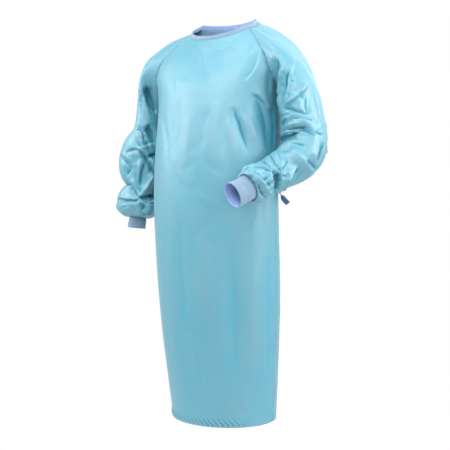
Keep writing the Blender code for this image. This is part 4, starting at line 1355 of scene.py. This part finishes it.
class Nodes:
    """Adds nodes to a new material and joins them."""

    def __init__(self, name):
        self.material = bpy.data.materials.new(name)
        self.material.use_nodes = True
        self.tree = self.material.node_tree
        self.shader = self.tree.nodes["Principled BSDF"]

    def add(self, kind, values=None, **settings):
        node = self.tree.nodes.new(kind)
        for key, value in settings.items():
            setattr(node, key, value)
        for key, value in (values or {}).items():
            if isinstance(value, bpy.types.NodeSocket):
                self.tree.links.new(value, node.inputs[key])
            else:
                node.inputs[key].default_value = value
        return node

    def cloth(self):
        """Places along and across the cloth, in metres."""
        return self.add("ShaderNodeUVMap", uv_map="cloth").outputs[0]

    def place(self):
        return self.add("ShaderNodeTexCoord").outputs["Object"]

    def crest(self):
        return self.add("ShaderNodeAttribute", attribute_name="crest").outputs["Fac"]

    def times(self, a, b):
        return self.add("ShaderNodeMath", {0: a, 1: b}, operation="MULTIPLY").outputs[0]

    def total(self, *values, clamp=False):
        """The sum of the values, kept between 0 and 1 if it has to be."""
        made = values[0]
        for value in values[1:]:
            made = self.add("ShaderNodeMath", {0: made, 1: value}, operation="ADD").outputs[0]
        made.node.use_clamp = clamp
        return made

    def noise(self, where, scale, detail=3.0, roughness=0.5):
        values = {"Vector": where, "Scale": scale, "Detail": detail, "Roughness": roughness}
        return self.add("ShaderNodeTexNoise", values).outputs["Fac"]

    def waves(self, where, pitch, direction, distortion=0.0):
        """Bands of a pitch in metres."""
        values = {"Vector": where, "Scale": 2 * math.pi / 20 / pitch, "Distortion": distortion}
        return self.add("ShaderNodeTexWave", values, bands_direction=direction).outputs["Fac"]

    def range(self, value, low, high, to_low, to_high):
        values = {0: value, 1: low, 2: high, 3: to_low, 4: to_high}
        return self.add("ShaderNodeMapRange", values).outputs[0]

    def spread(self, noise, to_low, to_high):
        """A noise's middle part, which holds nearly all of it, over a range."""
        return self.range(noise, 0.3, 0.7, to_low, to_high)

    def mix_colour(self, share, a, b):
        values = {0: share, 6: opaque(a), 7: opaque(b)}
        return self.add("ShaderNodeMix", values, data_type="RGBA").outputs[2]

    def bump(self, height, distance, strength=1.0, under=None):
        values = {"Height": height, "Distance": distance, "Strength": strength}
        if under is not None:
            values["Normal"] = under
        return self.add("ShaderNodeBump", values).outputs[0]

    def finish(self, colour, roughness, normal, **settings):
        self.tree.links.new(colour, self.shader.inputs["Base Color"])
        self.tree.links.new(roughness, self.shader.inputs["Roughness"])
        self.tree.links.new(normal, self.shader.inputs["Normal"])
        for key, value in settings.items():
            self.shader.inputs[key.replace("_", " ")].default_value = value
        return self.material


def woven(name, deep, light, crevice_shade, gloss, sheen):
    """Plain-woven cloth: warp and weft, with painted highlight on the crests and painted shade in the
    troughs, darkest in the sharp hollows, with slubs and soft rubbed patches.
    """
    n = Nodes(name)
    cloth, place, crest = n.cloth(), n.place(), n.crest()
    weave = n.times(n.waves(cloth, WEAVE_PITCH, "X"), n.waves(cloth, WEAVE_PITCH, "Y"))
    slubs = n.noise(cloth, 900.0, 2.0)
    patches = n.noise(place, 14.0, 4.0, 0.6)
    fine = n.noise(place, 75.0)
    # Painted highlight and painted shade: the crest share makes the colour paler on the crests and deeper
    # in the troughs, beside random patches and the weave
    share = n.total(
        n.range(crest, -1.0, 1.0, 0.0, 0.8), n.spread(patches, -0.1, 0.3), n.spread(fine, -0.15, 0.15),
        n.range(weave, 0.0, 1.0, -0.06, 0.06), clamp=True,
    )
    colour = n.mix_colour(share, deep, light)
    # Painted shade: the sharpest hollows turn to the crevice colour
    colour = n.mix_colour(n.range(crest, -1.8, -1.0, 1.0, 0.0), colour, crevice_shade)
    rough = n.total(
        n.spread(fine, gloss - 0.05, gloss + 0.05), n.spread(slubs, 0, 0.06),
        n.range(crest, -1.6, -0.9, 0.4, 0.0),
    )
    relief = n.bump(fine, 0.0006, 0.7)
    relief = n.bump(slubs, 0.00006, 0.5, relief)
    relief = n.bump(weave, 0.00008, 0.6, relief)
    return n.finish(
        colour, rough, relief, Sheen_Weight=sheen, Sheen_Roughness=0.4, Specular_IOR_Level=1.0, IOR=1.56,
        Sheen_Tint=(0.85, 0.97, 1.0, 1.0),
    )


def knitted(name, deep, light):
    """Rib knit: rows of small loops, fuzzy, with painted highlight on the ribs and painted shade between
    them.
    """
    n = Nodes(name)
    cloth = n.cloth()
    loops = n.times(n.waves(cloth, WALE_PITCH, "X", 0.4), n.waves(cloth, COURSE_PITCH, "Y", 0.8))
    fuzz = n.noise(cloth, 1600.0)
    patches = n.noise(n.place(), 40.0)
    # Painted highlight and painted shade: paler on the raised ribs, deeper in the grooves between them
    share = n.total(
        n.range(n.crest(), -1.0, 1.0, 0.1, 0.7), n.spread(patches, -0.1, 0.2),
        n.range(loops, 0.0, 1.0, -0.12, 0.1), clamp=True,
    )
    relief = n.bump(fuzz, 0.00012, 0.6)
    relief = n.bump(loops, 0.00022, 0.8, relief)
    return n.finish(
        n.mix_colour(share, deep, light), n.spread(fuzz, 0.78, 0.95), relief, Sheen_Weight=0.35,
        Sheen_Roughness=0.6, Specular_IOR_Level=0.3, Sheen_Tint=(0.9, 0.94, 1.0, 1.0),
    )


def taped(name, deep, light):
    """Herringbone tape, darker along its selvedges' ribs."""
    n = Nodes(name)
    cloth = n.cloth()
    ribs = n.waves(cloth, RIB_PITCH, "X")
    twill = n.waves(cloth, TWILL_PITCH, "DIAGONAL")
    fuzz = n.noise(cloth, 1400.0)
    patches = n.noise(n.place(), 90.0)
    share = n.total(
        n.range(twill, 0.0, 1.0, 0.15, 0.55), n.range(ribs, 0.0, 1.0, -0.1, 0.15),
        n.spread(patches, -0.15, 0.25), clamp=True,
    )
    relief = n.bump(fuzz, 0.00006, 0.5)
    relief = n.bump(twill, 0.00018, 0.8, relief)
    return n.finish(
        n.mix_colour(share, deep, light), n.spread(fuzz, 0.5, 0.7), relief, Sheen_Weight=0.2,
        Sheen_Roughness=0.4, Specular_IOR_Level=0.5,
    )


def threaded(name, deep, light):
    """Sewing thread: twisted, slightly glossy."""
    n = Nodes(name)
    place = n.place()
    twist = n.waves(place, TWIST_PITCH, "DIAGONAL")
    patches = n.noise(place, 60.0)
    colour = n.mix_colour(n.times(n.spread(patches, 0.2, 1.0), twist), deep, light)
    relief = n.bump(twist, 0.00008, 0.6)
    return n.finish(
        colour, n.spread(patches, 0.4, 0.55), relief, Sheen_Weight=0.15, Specular_IOR_Level=0.5,
    )


def papered(name, deep, light):
    """Pale studio paper."""
    n = Nodes(name)
    place = n.place()
    grain = n.noise(place, 180.0)
    colour = n.mix_colour(n.noise(place, 1.2, 2.0), deep, light)
    return n.finish(colour, n.spread(grain, 0.75, 0.85), n.bump(grain, 0.0003, 0.2))


# The studio

def backdrop():
    """A white studio sweep all round, which is only looked at and lights nothing."""
    bpy.ops.mesh.primitive_uv_sphere_add(segments=64, ring_count=32, radius=BACKDROP_RADIUS)
    made = bpy.context.object
    made.name = "backdrop"
    n = Nodes("backdrop")
    n.tree.nodes.remove(n.shader)
    glow = n.add("ShaderNodeEmission", {"Color": WHITE, "Strength": 1.0})
    n.tree.links.new(glow.outputs[0], n.tree.nodes["Material Output"].inputs["Surface"])
    made.data.materials.append(n.material)
    made.visible_diffuse = False
    made.visible_glossy = False
    made.visible_transmission = False
    made.visible_shadow = False
    return made


def round_floor():
    turns = [2 * math.pi * k / FLOOR_SIDES for k in range(FLOOR_SIDES)]
    ring = [(FLOOR_RADIUS * math.cos(turn), FLOOR_RADIUS * math.sin(turn), FLOOR_Z) for turn in turns]
    mesh = bpy.data.meshes.new("floor")
    mesh.from_pydata(ring, [], [range(FLOOR_SIDES)])
    mesh.materials.append(papered("floor", FLOOR_DEEP, FLOOR_LIGHT))
    return linked("floor", mesh)


def studio():
    scene = bpy.context.scene
    scene.view_settings.view_transform = "Standard"
    scene.world = bpy.data.worlds.new("studio")
    scene.world.use_nodes = True
    background = scene.world.node_tree.nodes["Background"]
    background.inputs["Color"].default_value = WHITE
    background.inputs["Strength"].default_value = WORLD_STRENGTH
    for name, at, size, power, tint in LAMPS:
        data = bpy.data.lights.new(name, "AREA")
        data.shape = "SQUARE"
        data.size = size
        data.energy = power
        data.color = tint
        lamp = linked(name, data)
        lamp.location = at
        lamp.rotation_euler = (Vector(LAMPS_LOOK_AT) - Vector(at)).to_track_quat("-Z", "Y").to_euler()
    data = bpy.data.cameras.new("camera")
    data.lens = CAMERA_LENS
    data.sensor_width = CAMERA_SENSOR
    camera = linked("camera", data)
    camera.location = CAMERA_AT
    camera.rotation_euler = (math.radians(90), 0, math.radians(AZIMUTH))
    scene.camera = camera
    round_floor()
    backdrop()


# The gown, piece by piece

Sewn = namedtuple("Sewn", "name node surface cloth crest seams")


def panels_and_sleeves(surfaces, crests, cloth, binding):
    """The cloth pieces and the neck binding as rows, with the normals that they share at seams."""
    front, back, left, right = surfaces
    under = back._replace(grid=back.grid[:, BEFORE_UNDER:])
    outer = outer_flap(back, shared_normals(surfaces)[1])
    band = neck_band(front, left, right, under, outer)
    under_crest, outer_crest = crests[1][:, BEFORE_UNDER:], crests[1][:, :outer.grid.shape[1]]
    rows = (
        Sewn("front", "front_panel", front, cloth, crests[0], ("top", "first", "last")),
        Sewn("flap_under", "back_flap_under", under, cloth, under_crest, ("top", "last")),
        Sewn("flap_outer", "back_flap_outer", outer, cloth, outer_crest, ("top", "first")),
        Sewn("left_sleeve", "sleeve_left", left, cloth, crests[2], ("bottom",)),
        Sewn("right_sleeve", "sleeve_right", right, cloth, crests[3], ("bottom",)),
        Sewn("neck_binding", "neck_band", band, binding, np.zeros(band.grid.shape[:2]), ("bottom",)),
    )
    return rows, shared_normals([row.surface for row in rows])


def knot_pieces(knot, tape):
    """The two turns of the tape that the knot is made of."""
    point, forward, up, out = knot
    leaning = (up + forward * KNOT_LEAN).normalized()
    turns = (
        KnotTurn("knot", leaning, out.cross(leaning).normalized(), 0.0088, 0.0046, 0.0135),
        KnotTurn("knot_cross", forward, up, 0.0080, 0.0036, 0.0120),
    )
    made = {}
    for row in turns:
        made[row.name] = lone_shell(row.name, knot_surface(row, point + out * ON_FLAP, out), tape)
    put_on(made["knot"], "tie_knot")
    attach(made["knot_cross"], "root")
    return made


def stitch_lines(rows, normals):
    """The lines of each set of stitches, with the slot that they go with."""
    sewn = {row.name: (row.surface, ways) for row, ways in zip(rows, normals)}
    front, ways = sewn["front"]
    sewn["body"] = (front._replace(grid=front.grid[:BODY_STEPS + 1]), ways[:BODY_STEPS + 1])
    table = (
        ("hem_stitches", "front_panel", ("front", "flap_under", "flap_outer"), ("bottom",), HEM_DEPTH),
        ("side_stitches", "front_panel", ("body",), ("first", "last"), SEAM_INSET),
        ("flap_stitches", "back_flap_outer", ("flap_outer",), ("last",), FLAP_INSET),
        ("flap_stitches", "back_flap_outer", ("flap_under",), ("first",), FLAP_INSET),
        ("raglan_stitches", "sleeve_left", ("left_sleeve", "right_sleeve"), ("bottom",), SEAM_INSET),
        ("binding_stitches", "neck_band", ("neck_binding",), ("bottom",), BAND_INSET),
    )
    made = {}
    for name, slot, pieces, edges, distance in table:
        lines = made.setdefault((name, slot), [])
        lines += [inset_line(*sewn[piece], edge, distance) for piece in pieces for edge in edges]
    return made


def build():
    cloth = (
        CLOTH_THICKNESS,
        woven("cloth_outside", CLOTH_DEEP_AND_PAINTED_SHADE, CLOTH_LIGHT_AND_PAINTED_HIGHLIGHT, CREVICE_PAINTED_SHADE, 0.45, 0.16),
        woven("cloth_inside", INSIDE_DEEP_AND_PAINTED_SHADE, INSIDE_LIGHT_AND_PAINTED_HIGHLIGHT, INSIDE_DEEP_AND_PAINTED_SHADE, 0.60, 0.20),
    )
    knit_looks = (
        knitted("knit_outside", KNIT_DEEP_AND_PAINTED_SHADE, KNIT_LIGHT_AND_PAINTED_HIGHLIGHT),
        knitted("knit_inside", KNIT_INSIDE_DEEP_AND_PAINTED_SHADE, KNIT_INSIDE_LIGHT_AND_PAINTED_HIGHLIGHT),
    )
    tape_look = taped("tape", TAPE_DEEP, TAPE_LIGHT)
    tape = (TAPE_THICKNESS, tape_look, tape_look)
    thread = threaded("thread", THREAD_DEEP, THREAD_LIGHT)

    rows, normals = panels_and_sleeves(*gown(), cloth, (BAND_THICKNESS, *knit_looks))
    pieces = {}
    for row, ways in zip(rows, normals):
        sheet = shell(row.name, row.surface, ways, row.cloth, row.crest, row.seams)
        pieces[row.name] = put_on(sheet, row.node)

    # The cuffs' crest follows their ribs, for the knit's painted highlight on them and painted shade
    # between them
    ribs = [math.cos(RIBS * turn) for turn in ring_turns(CUFF_POINTS)]
    crest = np.tile(np.array(ribs), (CUFF_RINGS + 1, 1))
    for name, node, sleeve in (
        ("left_cuff", "cuff_left", LEFT_SLEEVE),
        ("right_cuff", "cuff_right", RIGHT_SLEEVE),
    ):
        cuff = lone_shell(name, knit_cuff(sleeve), (KNIT_THICKNESS, *knit_looks), crest)
        pieces[name] = put_on(cuff, node)

    knot = side_frame(KNOT_SHARE)
    half = KNOT_SIZE.x / 2 - KNOT_LAP
    for name, node, surface in (
        ("tie", "waist_tie", tie_run(TIE_START, -half, SHEET_LIFT + ON_FRONT)),
        ("tab", "side_tab", tie_run(TAB_START, half, ON_FRONT)),
        ("tail", "tie_tail", tie_tail(knot)),
    ):
        pieces[name] = put_on(lone_shell(name, surface, tape), node)
    pieces.update(knot_pieces(knot, tape))

    for (name, slot), lines in stitch_lines(rows, normals).items():
        lift = BAND_THICKNESS if slot == "neck_band" else CLOTH_THICKNESS
        pieces[name] = stitches(name, lines, lift / 2, thread)
        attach(pieces[name], "root")
    return pieces


pieces = build()
studio()
